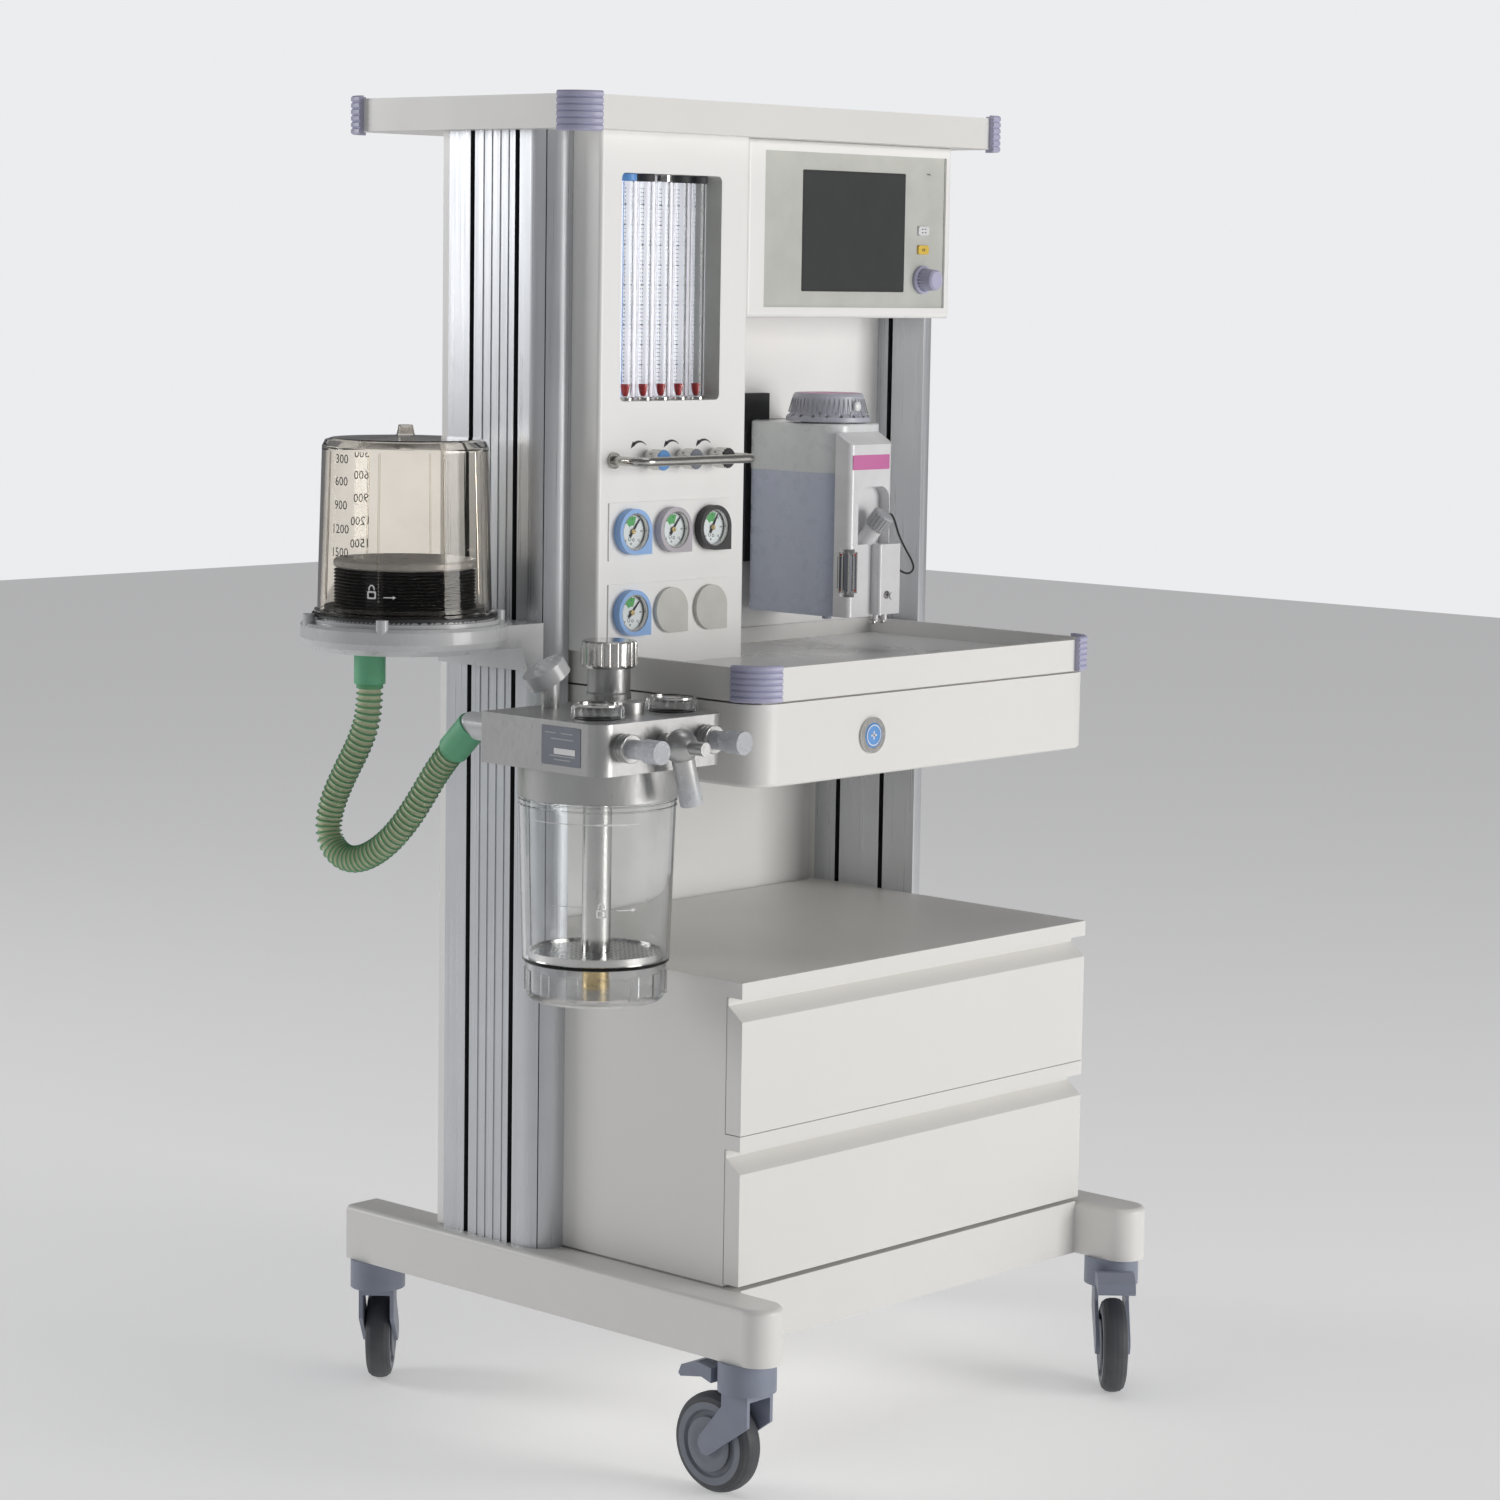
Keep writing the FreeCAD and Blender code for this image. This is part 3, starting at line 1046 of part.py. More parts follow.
def relief_valve():
    """The body of the pressure limiting valve, a round gauge behind it and a knurled ring."""
    body = lathe([("0", "0"), ("relief_radius - 2", "0"), ("relief_radius - 2", "4"),
                  ("relief_radius + 1", "4"), ("relief_radius + 1", "9"), ("relief_radius", "11"),
                  ("relief_radius", "relief_height"), ("0", "relief_height")],
                 ("relief_x", "relief_y", "block_top"))
    ring = rod(("(valve_left + valve_right) / 2 + 8", "valve_y + 18", "block_top"),
               "valve_radius - 9", "valve_height - 2")
    stem = rod(("relief_x - 74", "relief_y + 6", "block_top"), "9", "32")
    gauge = rod(("relief_x - 72", "relief_y + 8", "block_top + 26"), "22", "15")
    gauge.Placement = turned_to((-0.5, 0.2, 0.84))
    return group(body, ring, fuse(stem, gauge))


CUFF_AXIS = (0.0, 0.73, -0.683)

node("breathing_block", breathing_block())
node("block_fittings", group(valve_cap("valve_left"), valve_cap("valve_right"),
                             capped_port("port_left"), capped_port("port_right"),
                             back_port(), relief_valve()))
node("relief_knob", flute(lathe([
    ("0", "relief_height + reveal"), ("relief_knob_radius - 3", "relief_height + reveal"),
    ("relief_knob_radius", "relief_height + 4"),
    ("relief_knob_radius", "relief_height + relief_knob_height - 2"),
    ("relief_knob_radius - 3", "relief_height + relief_knob_height"),
    ("0", "relief_height + relief_knob_height")],
    ("relief_x", "relief_y", "block_top")), 22, "relief_knob_radius + 0.8", "2.2"))


def bag_elbow():
    """The swivelling bag connection: a round knuckle, a front pin and a down-turned outlet."""
    shank = rod(("elbow_x", "block_front - reveal", "elbow_z"), "outlet_radius", "elbow_reach", "-y")
    knuckle = doc.addObject("Part::Sphere", "Knuckle")
    bind(knuckle, x="elbow_x", y="block_front - elbow_reach", z="elbow_z", Radius="elbow_radius")
    pin = rod(("elbow_x", "block_front - elbow_reach", "elbow_z"), "6.5", "elbow_radius + 16", "-y")
    outlet = rod(("elbow_x", "block_front - elbow_reach", "elbow_z"), "outlet_radius", "outlet_length")
    bore = rod(("elbow_x", "block_front - elbow_reach", "elbow_z"), "outlet_radius - 2", "outlet_length + 1")
    tilt = math.radians(size("outlet_tilt"))
    for item in (outlet, bore):
        item.Placement = turned_to((math.sin(tilt), 0, -math.cos(tilt)))
    tip = cut(outlet, bore)
    core = rod(("elbow_x", "block_front - elbow_reach", "elbow_z"), "outlet_radius - 1.9",
               "outlet_length * 0.6")
    core.Placement = turned_to((math.sin(tilt), 0, -math.cos(tilt)))
    return fuse(shank, knuckle, pin, tip, core)


def canister():
    """The clear absorber bowl, tapering a little, with the ring that holds the handwheel."""
    return lathe([
        ("canister_radius", "collar_bottom - reveal"), ("canister_radius - canister_wall", "collar_bottom - reveal"),
        ("canister_low_radius - canister_wall", "canister_bottom + canister_wall"),
        ("0", "canister_bottom + canister_wall"), ("0", "canister_bottom"),
        ("canister_low_radius - 1", "canister_bottom"), ("canister_low_radius", "canister_bottom + 1")],
        ("absorber_x", "absorber_y", "0"))


def canister_pipe():
    """The steel return pipe with the sieve plate it stands on."""
    top = "collar_bottom - 2"
    base = "canister_bottom + canister_wall"
    return lathe([
        ("pipe_radius", base), ("sieve_radius", base), ("sieve_radius", f"{base} + sieve_height"),
        ("sieve_radius - 3", f"{base} + sieve_height"), ("sieve_radius - 3", f"{base} + sieve_height - 2"),
        ("pipe_radius", f"{base} + sieve_height - 2"), ("pipe_radius", top),
        ("pipe_radius - pipe_wall", top), ("pipe_radius - pipe_wall", base)],
        ("absorber_x", "absorber_y", "0"))


def handwheel():
    """The ribbed wheel under the bowl that clamps it, with a hub in the middle."""
    top = "canister_bottom - reveal"
    return lathe([
        ("0", "wheel_bottom"), ("wheel_radius - 5", "wheel_bottom"), ("wheel_radius - 2", "wheel_bottom + 3"),
        ("wheel_radius", "wheel_bottom + 10"), ("wheel_radius", top), ("wheel_radius - 5", top),
        ("wheel_radius - 6", "wheel_bottom + 8"), ("13", "wheel_bottom + 8"), ("13", top), ("0", top)],
        ("absorber_x", "absorber_y", "0"))


node("bag_elbow", bag_elbow())
node("canister", canister())
node("canister_pipe", canister_pipe())
node("canister_handwheel", handwheel())


# ---------------------------------------------------------------- hose and lanyard

def corded(route, radius, name):
    """A tube along straight runs joined by tangent arcs that are as large as the runs allow."""
    points = [Vector(x + size("origin_x"), y + size("origin_y"), z) for x, y, z in route]
    edges = []
    start = points[0]
    bends = []
    for before, corner, after in zip(points, points[1:], points[2:]):
        back = (before - corner).normalize()
        ahead = (after - corner).normalize()
        turn = math.pi - back.getAngle(ahead)
        shorter = min(before.distanceToPoint(corner), corner.distanceToPoint(after))
        bend = 0.45 * shorter / math.tan(turn / 2)
        setback = 0.45 * shorter
        entry, leave = corner + back * setback, corner + ahead * setback
        centre_line = (back + ahead).normalize()
        apex = corner + centre_line * (bend / math.cos(turn / 2) - bend)
        edges += [Part.LineSegment(start, entry).toShape(), Part.Arc(entry, apex, leave).toShape()]
        start = leave
        bends.append(round(bend, 1))
    edges.append(Part.LineSegment(start, points[-1]).toShape())
    path = Part.Wire(edges)
    ring = Part.Wire(Part.makeCircle(radius, points[0], points[1] - points[0]))
    item = doc.addObject("Part::Feature", "Cord")
    item.Shape = path.makePipeShell([ring], True, False)
    section = math.pi * radius * radius
    print(f"{name}: length {path.Length:.1f}, volume / (section x length) "
          f"{item.Shape.Volume / (section * path.Length):.4f}, bend radii {bends}")
    return item


def hose_start():
    """The route's first two points: the end of the block's cuff and 25 mm further along its axis."""
    bend = Vector(size("port_back_x"), size("block_back + port_back_reach"), size("port_back_z"))
    along = Vector(*CUFF_AXIS).normalize()
    ends = [bend + along * size("cuff_length"), bend + along * size("cuff_length + 25")]
    return [(end.x, end.y, end.z) for end in ends]


HOSE_ROUTE = [
    *hose_start(), (-447.5, 62.0, 678.0), (-451.0, 83.0, 648.5),
    (-455.0, 108.0, 623.0), (-457.0, 137.0, 606.0), (-458.0, 164.0, 601.5), (-458.5, 186.0, 613.0),
    (-458.0, 192.5, 635.0), (-457.0, 184.0, 662.0), (-455.5, 168.0, 690.0), (-453.5, 149.0, 720.0),
    (-452.0, 137.0, 750.0), (-452.0, 137.0, 779.5),
]
LANYARD_ROUTE = [
    (95.5, -58.0, 935.5), (102.0, -56.5, 937.5), (109.0, -54.5, 935.0), (116.0, -52.5, 927.0),
    (124.0, -50.5, 914.0), (135.5, -50.0, 899.0), (148.0, -49.5, 885.5), (153.0, -48.5, 876.5),
    (147.0, -47.0, 871.0), (136.0, -45.5, 873.5), (124.0, -44.5, 882.0), (113.8, -44.0, 890.0),
]
node("breathing_hose", corded(HOSE_ROUTE, size("hose_radius"), "hose"))
node("vaporizer_lanyard", corded(LANYARD_ROUTE, size("lanyard_radius"), "lanyard"))


# ---------------------------------------------------------------- rear services

def rear_inlets():
    """Three gas inlets and a mains inlet on a plate at the back."""
    plate = box(("-150", "150"), ("rear_panel_back", "rear_panel_back + 3"), ("560", "660"))
    inlets = [lathe([("0", "0"), ("15", "0"), ("15", "10"), ("11", "12"), ("11", "26"), ("8", "28"), ("0", "28")],
                    (str(x), "rear_panel_back + 2.9", "620"), "y") for x in (-105, -45, 15)]
    socket = cut(box(("75", "130"), ("rear_panel_back + 2.9", "rear_panel_back + 14"), ("600", "640")),
                 box(("81", "124"), ("rear_panel_back + 5", "rear_panel_back + 15"), ("606", "634")))
    return fuse(plate, socket, *inlets)


node("rear_inlets", rear_inlets())


# ---------------------------------------------------------------- checks and export

doc.recompute()
for item in doc.Objects:
    if "Invalid" in item.State or "Error" in item.State:
        raise RuntimeError(f"{item.Label} was not computed: {item.State}")
os.makedirs("parts", exist_ok=True)
for label, item in NODES.items():
    if item.Shape.isNull() or not item.Shape.isValid() or not item.Shape.Solids:
        raise RuntimeError(f"{label} is not a valid solid")
for label, item in NODES.items():
    item.Shape.exportStep(os.path.join("parts", f"{label}.step"))
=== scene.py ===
"""Looks of the anesthesia machine: finishes, the ribbed hose, dials, scales, marks and fittings.

Places are given in the trolley's own millimetres: x across from its mid-plane, y from front to back
and z up from the floor.  spot() turns them into the row frame's metres.
"""
import math

import bmesh
import bpy
import numpy as np
from mathutils import Matrix, Vector


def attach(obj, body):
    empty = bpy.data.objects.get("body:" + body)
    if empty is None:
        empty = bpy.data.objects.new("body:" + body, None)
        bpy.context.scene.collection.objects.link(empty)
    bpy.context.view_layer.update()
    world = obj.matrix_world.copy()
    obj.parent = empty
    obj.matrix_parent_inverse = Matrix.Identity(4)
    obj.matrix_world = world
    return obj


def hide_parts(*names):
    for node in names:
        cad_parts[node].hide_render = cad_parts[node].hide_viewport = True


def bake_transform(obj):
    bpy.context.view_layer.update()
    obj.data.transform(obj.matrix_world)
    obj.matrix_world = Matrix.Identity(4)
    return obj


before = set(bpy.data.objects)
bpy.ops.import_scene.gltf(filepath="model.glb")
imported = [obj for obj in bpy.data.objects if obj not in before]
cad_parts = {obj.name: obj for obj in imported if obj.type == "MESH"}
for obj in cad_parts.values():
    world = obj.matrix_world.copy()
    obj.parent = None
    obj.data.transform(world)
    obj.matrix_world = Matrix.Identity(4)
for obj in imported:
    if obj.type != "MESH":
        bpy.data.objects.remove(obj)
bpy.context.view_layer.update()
ORIGIN = np.array([94.5, -35.5, 0.0])
TURN = 2 * math.pi
RIGHT, BACK, UP = np.eye(3)


def spot(x, y, z):
    """A place in trolley millimetres as a point in the row frame, in metres."""
    return (np.array([x, y, z], float) + ORIGIN) / 1000


# ------------------------------------------------------------------ camera and light

def camera():
    """A long lens in front of the machine's left side, a little above its middle."""
    heading, pitch, roll = (math.radians(angle) for angle in (42.6297, 7.1243, 0.9101))
    ahead = Vector((math.cos(heading) * math.cos(pitch), math.sin(heading) * math.cos(pitch),
                    -math.sin(pitch)))
    level = Vector((math.sin(heading), -math.cos(heading), 0))
    above = level.cross(ahead)
    right = level * math.cos(roll) + above * math.sin(roll)
    up = above * math.cos(roll) - level * math.sin(roll)
    data = bpy.data.cameras.new("camera")
    data.sensor_width, data.lens = 36.0, 91.87
    data.clip_start, data.clip_end = 0.1, 50
    seen = bpy.data.objects.new("camera", data)
    bpy.context.scene.collection.objects.link(seen)
    turned = Matrix((right, up, -ahead)).transposed().to_4x4()
    turned.translation = Vector(spot(-2951.2, -2673.0, 1187.1))
    seen.matrix_world = turned
    bpy.context.scene.camera = seen


def lamp(name, place, target, size, power, tone):
    """A square soft box at place that faces target; all in metres."""
    data = bpy.data.lights.new(name, "AREA")
    data.shape, data.size, data.energy, data.color = "SQUARE", size, power, tone
    light = bpy.data.objects.new(name, data)
    bpy.context.scene.collection.objects.link(light)
    light.location = place
    light.rotation_euler = (Vector(target) - Vector(place)).to_track_quat("-Z", "Y").to_euler()


def studio():
    """A pale floor, a light grey surround and three soft boxes."""
    world = bpy.data.worlds.new("studio")
    world.use_nodes = True
    tree = world.node_tree
    seen, reflected = tree.nodes["Background"], tree.nodes.new("ShaderNodeBackground")
    seen.inputs["Color"].default_value = (0.95, 0.96, 0.98, 1)
    seen.inputs["Strength"].default_value = 0.88
    reflected.inputs["Color"].default_value = (0.95, 0.96, 1.0, 1)
    reflected.inputs["Strength"].default_value = 0.17
    rays, bounces, direct = (tree.nodes.new(kind) for kind in
                             ("ShaderNodeLightPath", "ShaderNodeMath", "ShaderNodeMath"))
    bounces.operation, direct.operation, direct.inputs[1].default_value = "ADD", "LESS_THAN", 0.5
    tree.links.new(rays.outputs["Glossy Depth"], bounces.inputs[0])
    tree.links.new(rays.outputs["Diffuse Depth"], bounces.inputs[1])
    tree.links.new(bounces.outputs[0], direct.inputs[0])
    both = tree.nodes.new("ShaderNodeMixShader")
    tree.links.new(direct.outputs[0], both.inputs[0])
    tree.links.new(reflected.outputs[0], both.inputs[1])
    tree.links.new(seen.outputs[0], both.inputs[2])
    tree.links.new(both.outputs[0], tree.nodes["World Output"].inputs["Surface"])
    bpy.context.scene.world = world
    lamp("key", (1.6, -4.2, 1.25), (0, 0, 0.75), 2.0, 102, (1.0, 0.985, 0.965))
    lamp("left_fill", (-4.4, -0.4, 1.3), (0, 0, 0.8), 1.8, 3, (0.94, 0.97, 1.0))
    lamp("top", (0.4, -0.6, 4.2), (0, 0, 0.8), 1.6, 12, (1.0, 1.0, 1.0))
    lamp("back_rim", (-2.4, 3.6, 1.8), (0, 0, 0.9), 1.6, 60, (1.0, 1.0, 1.0))
    bpy.context.scene.view_settings.view_transform = "Standard"
    half = 9.0
    mesh = bpy.data.meshes.new("floor")
    corners = [(-half, -half, 0), (half, -half, 0), (half, half, 0), (-half, half, 0)]
    mesh.from_pydata(corners, [], [(0, 1, 2, 3)])
    floor = bpy.data.objects.new("floor", mesh)
    bpy.context.scene.collection.objects.link(floor)
    paint = Finish("floor_paint", (0.82, 0.82, 0.82), 0.6, Emission_Color=(1, 1, 1, 1), Emission_Strength=0.3)
    floor.data.materials.append(paint.grain(40, 0.0004, 0.2).material)


# ------------------------------------------------------------------ finishes

class Term:
    """A shader value that takes part in arithmetic; each operator adds its Math node."""

    def __init__(self, finish, socket):
        self.finish, self.socket = finish, socket

    def apply(self, operation, *terms):
        """Adds a Math node over these terms."""
        sockets = dict(enumerate(terms))
        return self.finish.node("ShaderNodeMath", {"operation": operation}, sockets)

    def __add__(self, other):
        return self.apply("ADD", self, other)

    def __sub__(self, other):
        return self.apply("SUBTRACT", self, other)

    def __rsub__(self, other):
        return self.apply("SUBTRACT", other, self)

    def __mul__(self, other):
        return self.apply("MULTIPLY", self, other)

    def __truediv__(self, other):
        return self.apply("DIVIDE", self, other)

    __radd__, __rmul__ = __add__, __mul__

    def ramp(self, low, high):
        """0 below low and 1 above high, with a smooth step between them."""
        return self.finish.node("ShaderNodeMapRange", {"interpolation_type": "SMOOTHSTEP"},
                                {0: self, 1: low, 2: high})


class Finish:
    """One material: a Principled shader whose colour, roughness and bump come from patterns."""

    def __init__(self, name, color, roughness, metallic=0.0, **constants):
        self.material = bpy.data.materials.new(name)
        self.material.use_nodes = True
        self.tree = self.material.node_tree
        self.shader = self.tree.nodes["Principled BSDF"]
        self.color, self.roughness, self.relief = tuple(color), roughness, None
        self.set("Base Color", (*color, 1)).set("Roughness", roughness).set("Metallic", metallic)
        for socket, value in constants.items():
            self.set(socket.replace("_", " "), value)
        self.material.diffuse_color = (*color, 1)

    def set(self, socket, value):
        """Gives one of the shader's sockets a value or a link."""
        self.plug(self.shader.inputs[socket], value)
        return self

    def plug(self, socket, value):
        """Links a term to a socket, or writes a constant on it."""
        if isinstance(value, Term):
            self.tree.links.new(value.socket, socket)
        else:
            socket.default_value = value

    def node(self, kind, settings=None, sockets=None, out=0):
        """Adds one node: its settings first, then the values or links of its sockets."""
        made = self.tree.nodes.new(kind)
        for key, value in (settings or {}).items():
            setattr(made, key, value)
        for key, value in (sockets or {}).items():
            self.plug(made.inputs[key], value)
        return Term(self, made.outputs[out])

    def places(self, stretch=(1, 1, 1)):
        """Object coordinates in metres, stretched along each axis."""
        place = self.node("ShaderNodeTexCoord", out="Object")
        return self.node("ShaderNodeMapping", {}, {"Vector": place, "Scale": stretch})

    def axes(self):
        """The three object coordinates as separate values, in metres."""
        place = self.node("ShaderNodeTexCoord", out="Object")
        parts = self.node("ShaderNodeSeparateXYZ", {}, {0: place}).socket.node.outputs
        return [Term(self, part) for part in parts]

    def noise(self, scale, detail=3.0, stretch=(1, 1, 1), rough=0.55):
        """A noise pattern on the object's coordinates."""
        sockets = {"Vector": self.places(stretch), "Scale": scale, "Detail": detail, "Roughness": rough}
        return self.node("ShaderNodeTexNoise", {}, sockets)

    def mix(self, factor, first, second):
        """A colour between two colours or colour links."""
        colours = [value if isinstance(value, Term) else (*value[:3], 1) for value in (first, second)]
        return self.node("ShaderNodeMix", {"data_type": "RGBA"}, {0: factor, 6: colours[0], 7: colours[1]}, 2)

    def tone(self, scale, amount, stretch=(1, 1, 1)):
        """Lets the base colour drift a little lighter and darker."""
        drift = self.noise(scale, 4, stretch).ramp(0.3, 0.7)
        dark = tuple(value * (1 - amount) for value in self.color)
        light = tuple(min(1, value * (1 + amount * 0.5)) for value in self.color)
        self.painted = self.mix(drift, dark, light)
        return self.set("Base Color", self.painted)

    def gloss(self, scale, amount, stretch=(1, 1, 1)):
        """Lets the roughness drift by amount to either side."""
        drift = self.noise(scale, 4, stretch).ramp(0.25, 0.75)
        return self.set("Roughness", self.roughness - amount + drift * (2 * amount))

    def grain(self, scale, distance, strength=0.3, stretch=(1, 1, 1)):
        """A fine bump over any bump that is already there."""
        sockets = {"Height": self.noise(scale, 5, stretch), "Distance": distance, "Strength": strength}
        if self.relief:
            sockets["Normal"] = self.relief
        self.relief = self.node("ShaderNodeBump", {}, sockets)
        return self.set("Normal", self.relief)

    def soil(self, color, amount, low=0.0, high=0.5):
        """A faint dust that thickens towards the floor."""
        dust = (1 - self.axes()[2].ramp(low, high)) * self.noise(28, 5).ramp(0.35, 0.75) * amount
        return self.set("Base Color", self.mix(dust, self.painted, color))


def powder(name, color, roughness=0.42):
    """Powder-coated sheet: orange peel, slight drift of tone and gloss, and dust near the floor."""
    coat = Finish(name, color, roughness, Coat_Weight=0.15, Coat_Roughness=0.3)
    coat.tone(3.5, 0.012).soil((0.56, 0.55, 0.52), 0.10, 0.0, 0.3).gloss(9, 0.05)
    return coat.grain(1300, 0.0002, 0.16).grain(60, 0.0004, 0.05)


def moulded(name, color, roughness=0.4, **constants):
    """Moulded plastic with a fine spark-eroded texture and handling marks."""
    return (Finish(name, color, roughness, **constants).tone(25, 0.06).gloss(60, 0.07)
            .grain(2600, 0.00015, 0.25))


def brushed(name, color, roughness, stretch, metallic=0.9):
    """Metal with fine draw lines along one axis, and duller patches where it is handled."""
    metal = Finish(name, color, roughness, metallic, Anisotropic=0.3)
    return (metal.tone(5, 0.08).gloss(420, 0.09, stretch).grain(900, 0.00012, 0.28, stretch))


def see_through(name, color, roughness=0.03, ior=1.3, **constants):
    """A clear moulding with faint flow marks and a few hazy wipes."""
    clear = Finish(name, color, roughness, Transmission_Weight=1.0, IOR=ior, **constants)
    clear.tone(12, 0.05).gloss(18, 0.02)
    return clear.grain(14, 0.0006, 0.1)


WHITE = (0.80, 0.79, 0.765)
painted = powder("trolley_white", WHITE)
panel = powder("panel_white", (0.90, 0.895, 0.88), 0.38)
# Painted shade and reflection: the darker grey that the worktop tray's recessed floor gets
tray_floor_shade = powder("tray_floor_painted_shade", (0.72, 0.715, 0.70), 0.3)
plate_grey = moulded("display_plate", (0.545, 0.555, 0.515), 0.5)
blank_grey = moulded("blank_cover", (0.60, 0.60, 0.555), 0.5)
extrusion = brushed("column_aluminium", (0.60, 0.615, 0.64), 0.34, (1, 1, 0.01), 0.55)
slot_black = moulded("slot_shadow", (0.03, 0.032, 0.036), 0.7)
lilac = moulded("lilac_guard", (0.46, 0.46, 0.62), 0.42)
satin = brushed("satin_aluminium", (0.46, 0.46, 0.455), 0.36, (1, 1, 0.3), 0.9)
steel = brushed("polished_steel", (0.62, 0.61, 0.59), 0.16, (1, 1, 1), 1.0)
guard_steel = brushed("guard_steel", (0.52, 0.51, 0.48), 0.24, (0.02, 1, 1), 1.0)
brass = brushed("brass", (0.60, 0.47, 0.25), 0.24, (1, 1, 1), 1.0)
cast_grey = moulded("cast_arm_grey", (0.56, 0.565, 0.575), 0.32, Coat_Weight=0.3)
cuff_green = moulded("cuff_green", (0.13, 0.42, 0.235), 0.55)
folds_black = moulded("folds_rubber", (0.022, 0.022, 0.024), 0.5)
black = moulded("black_plastic", (0.028, 0.028, 0.03), 0.42)
lanyard_black = moulded("lanyard_cord", (0.016, 0.016, 0.017), 0.5)
white_gloss = moulded("fascia_white", (0.80, 0.80, 0.815), 0.2, Coat_Weight=0.5)
dial_lilac = moulded("dial_skirt", (0.46, 0.465, 0.53), 0.38)
magenta = moulded("magenta_print", (0.62, 0.16, 0.39), 0.4)
cap_grey = moulded("filler_grey", (0.42, 0.43, 0.45), 0.42)
caster_grey = moulded("caster_shell", (0.25, 0.275, 0.35), 0.42).soil((0.30, 0.29, 0.27), 0.2, 0.0, 0.16)
tyre = moulded("tyre_rubber", (0.06, 0.063, 0.072), 0.6).soil((0.20, 0.20, 0.19), 0.25, 0.0, 0.1)
hub_grey = moulded("wheel_hub", (0.20, 0.215, 0.25), 0.5)
blue = moulded("gas_blue", (0.12, 0.33, 0.72), 0.4)
pale_blue = moulded("bezel_blue", (0.30, 0.50, 0.86), 0.4)
bezel_grey = moulded("bezel_grey", (0.50, 0.47, 0.51), 0.4)
float_red = moulded("float_red", (0.55, 0.03, 0.03), 0.3)
dial_white = moulded("dial_card", (0.80, 0.86, 0.87), 0.5)
dial_green = moulded("dial_green", (0.10, 0.42, 0.13), 0.5)
print_dark = moulded("print_dark", (0.035, 0.035, 0.04), 0.6)
print_pale = moulded("print_pale", (0.80, 0.80, 0.80), 0.6)
button_yellow = moulded("button_yellow", (0.80, 0.55, 0.08), 0.35)
screen_glass = Finish("screen_glass", (0.055, 0.057, 0.057), 0.16, Coat_Weight=0.4)
screen_glass.tone(30, 0.04).gloss(40, 0.03)
clear = see_through("clear_bowl", (0.93, 0.94, 0.945))
ribbed_clear = see_through("ribbed_clear", (0.93, 0.935, 0.94), 0.2, 1.22)
frosted = moulded("frosted_cap", (0.76, 0.78, 0.82), 0.28, Transmission_Weight=0.35, IOR=1.3)
smoky = see_through("smoky_dome", (0.92, 0.885, 0.83), 0.03, 1.25)
tube_glass = see_through("tube_glass", (0.96, 0.97, 0.98), 0.02, 1.32)


def two_tone():
    """The vaporizer's coat: grey-green above its seam and blue-grey below, with a hammered grain."""
    coat = moulded("vaporizer_coat", (0.76, 0.79, 0.79), 0.3, Coat_Weight=0.3)
    seam = coat.axes()[2].ramp(0.97915, 0.97955)
    coat.set("Base Color", coat.mix(seam, (0.56, 0.61, 0.73), coat.painted))
    return coat


def sieve_steel():
    """Steel sheet with a square pattern of small round holes, darker than the sheet."""
    sheet = brushed("sieve_steel", (0.55, 0.55, 0.54), 0.3, (1, 1, 1), 1.0)
    x, y, _ = sheet.axes()
    pitch = 0.006
    parts = [(axis / pitch).apply("FRACT", axis / pitch) - 0.5 for axis in (x, y)]
    reach = parts[0] * parts[0] + parts[1] * parts[1]
    hole = 1 - reach.ramp(0.06, 0.09)
    sheet.set("Base Color", sheet.mix(hole, sheet.painted, (0.03, 0.03, 0.03)))
    return sheet


def backlight():
    """The flowmeters' lit backing: a glow that is even but for a slight fall towards its ends."""
    lit = Finish("window_backlight", (0.85, 0.85, 0.90), 0.5)
    height = lit.axes()[2]
    fall = height.ramp(1.05, 1.12) * (1 - height.ramp(1.20, 1.30) * 0.5)
    lit.set("Emission Color", lit.mix(fall, (0.62, 0.62, 0.70), (0.93, 0.93, 1.0)))
    return lit.set("Emission Strength", 0.5)


def hose_skin():
    """Green on the crests of the ribs and a pale straw see-through wall between them."""
    skin = Finish("hose_skin", (0.20, 0.50, 0.29), 0.34, Transmission_Weight=0.45, IOR=1.3)
    crest = skin.node("ShaderNodeAttribute", {"attribute_name": "crest"}, {}, "Fac")
    skin.set("Base Color", skin.mix(crest.ramp(0.25, 0.8), (0.83, 0.86, 0.62), (0.22, 0.55, 0.31)))
    return skin.grain(700, 0.0002, 0.2)


# ------------------------------------------------------------------ shapes

def grid(points, wrap_rows=False, wrap_columns=False):
    """A surface over a rows x columns grid of points: every cell of the grid is one face."""
    rows, columns = points.shape[:2]
    i, j = np.meshgrid(np.arange(rows - (not wrap_rows)), np.arange(columns - (not wrap_columns)),
                       indexing="ij")
    below, beside = (i + 1) % rows, (j + 1) % columns
    corners = [i * columns + j, i * columns + beside, below * columns + beside, below * columns + j]
    return points.reshape(-1, 3), np.stack(corners, -1).reshape(-1, 4)


def across(axis):
    """Two directions square to an axis and to each other."""
    axis = np.array(axis, float) / np.linalg.norm(axis)
    side = np.cross(axis, UP if abs(axis[2]) < 0.9 else RIGHT)
    side /= np.linalg.norm(side)
    return axis, side, np.cross(axis, side)


def turned(profile, at, axis=UP, steps=48, ripple=None):
    """A (radius, height) profile in mm carried round an axis; ripple(angle) scales the radius there."""
    axis, side, other = across(axis)
    angle = np.linspace(0, TURN, steps, endpoint=False)
    radius, height = np.array(profile, float).T / 1000
    scale = ripple(angle) if ripple else np.ones(steps)
    ring = np.cos(angle)[:, None] * side + np.sin(angle)[:, None] * other
    points = at + height[:, None, None] * axis + (radius[:, None] * scale)[..., None] * ring
    return grid(points, wrap_columns=True)


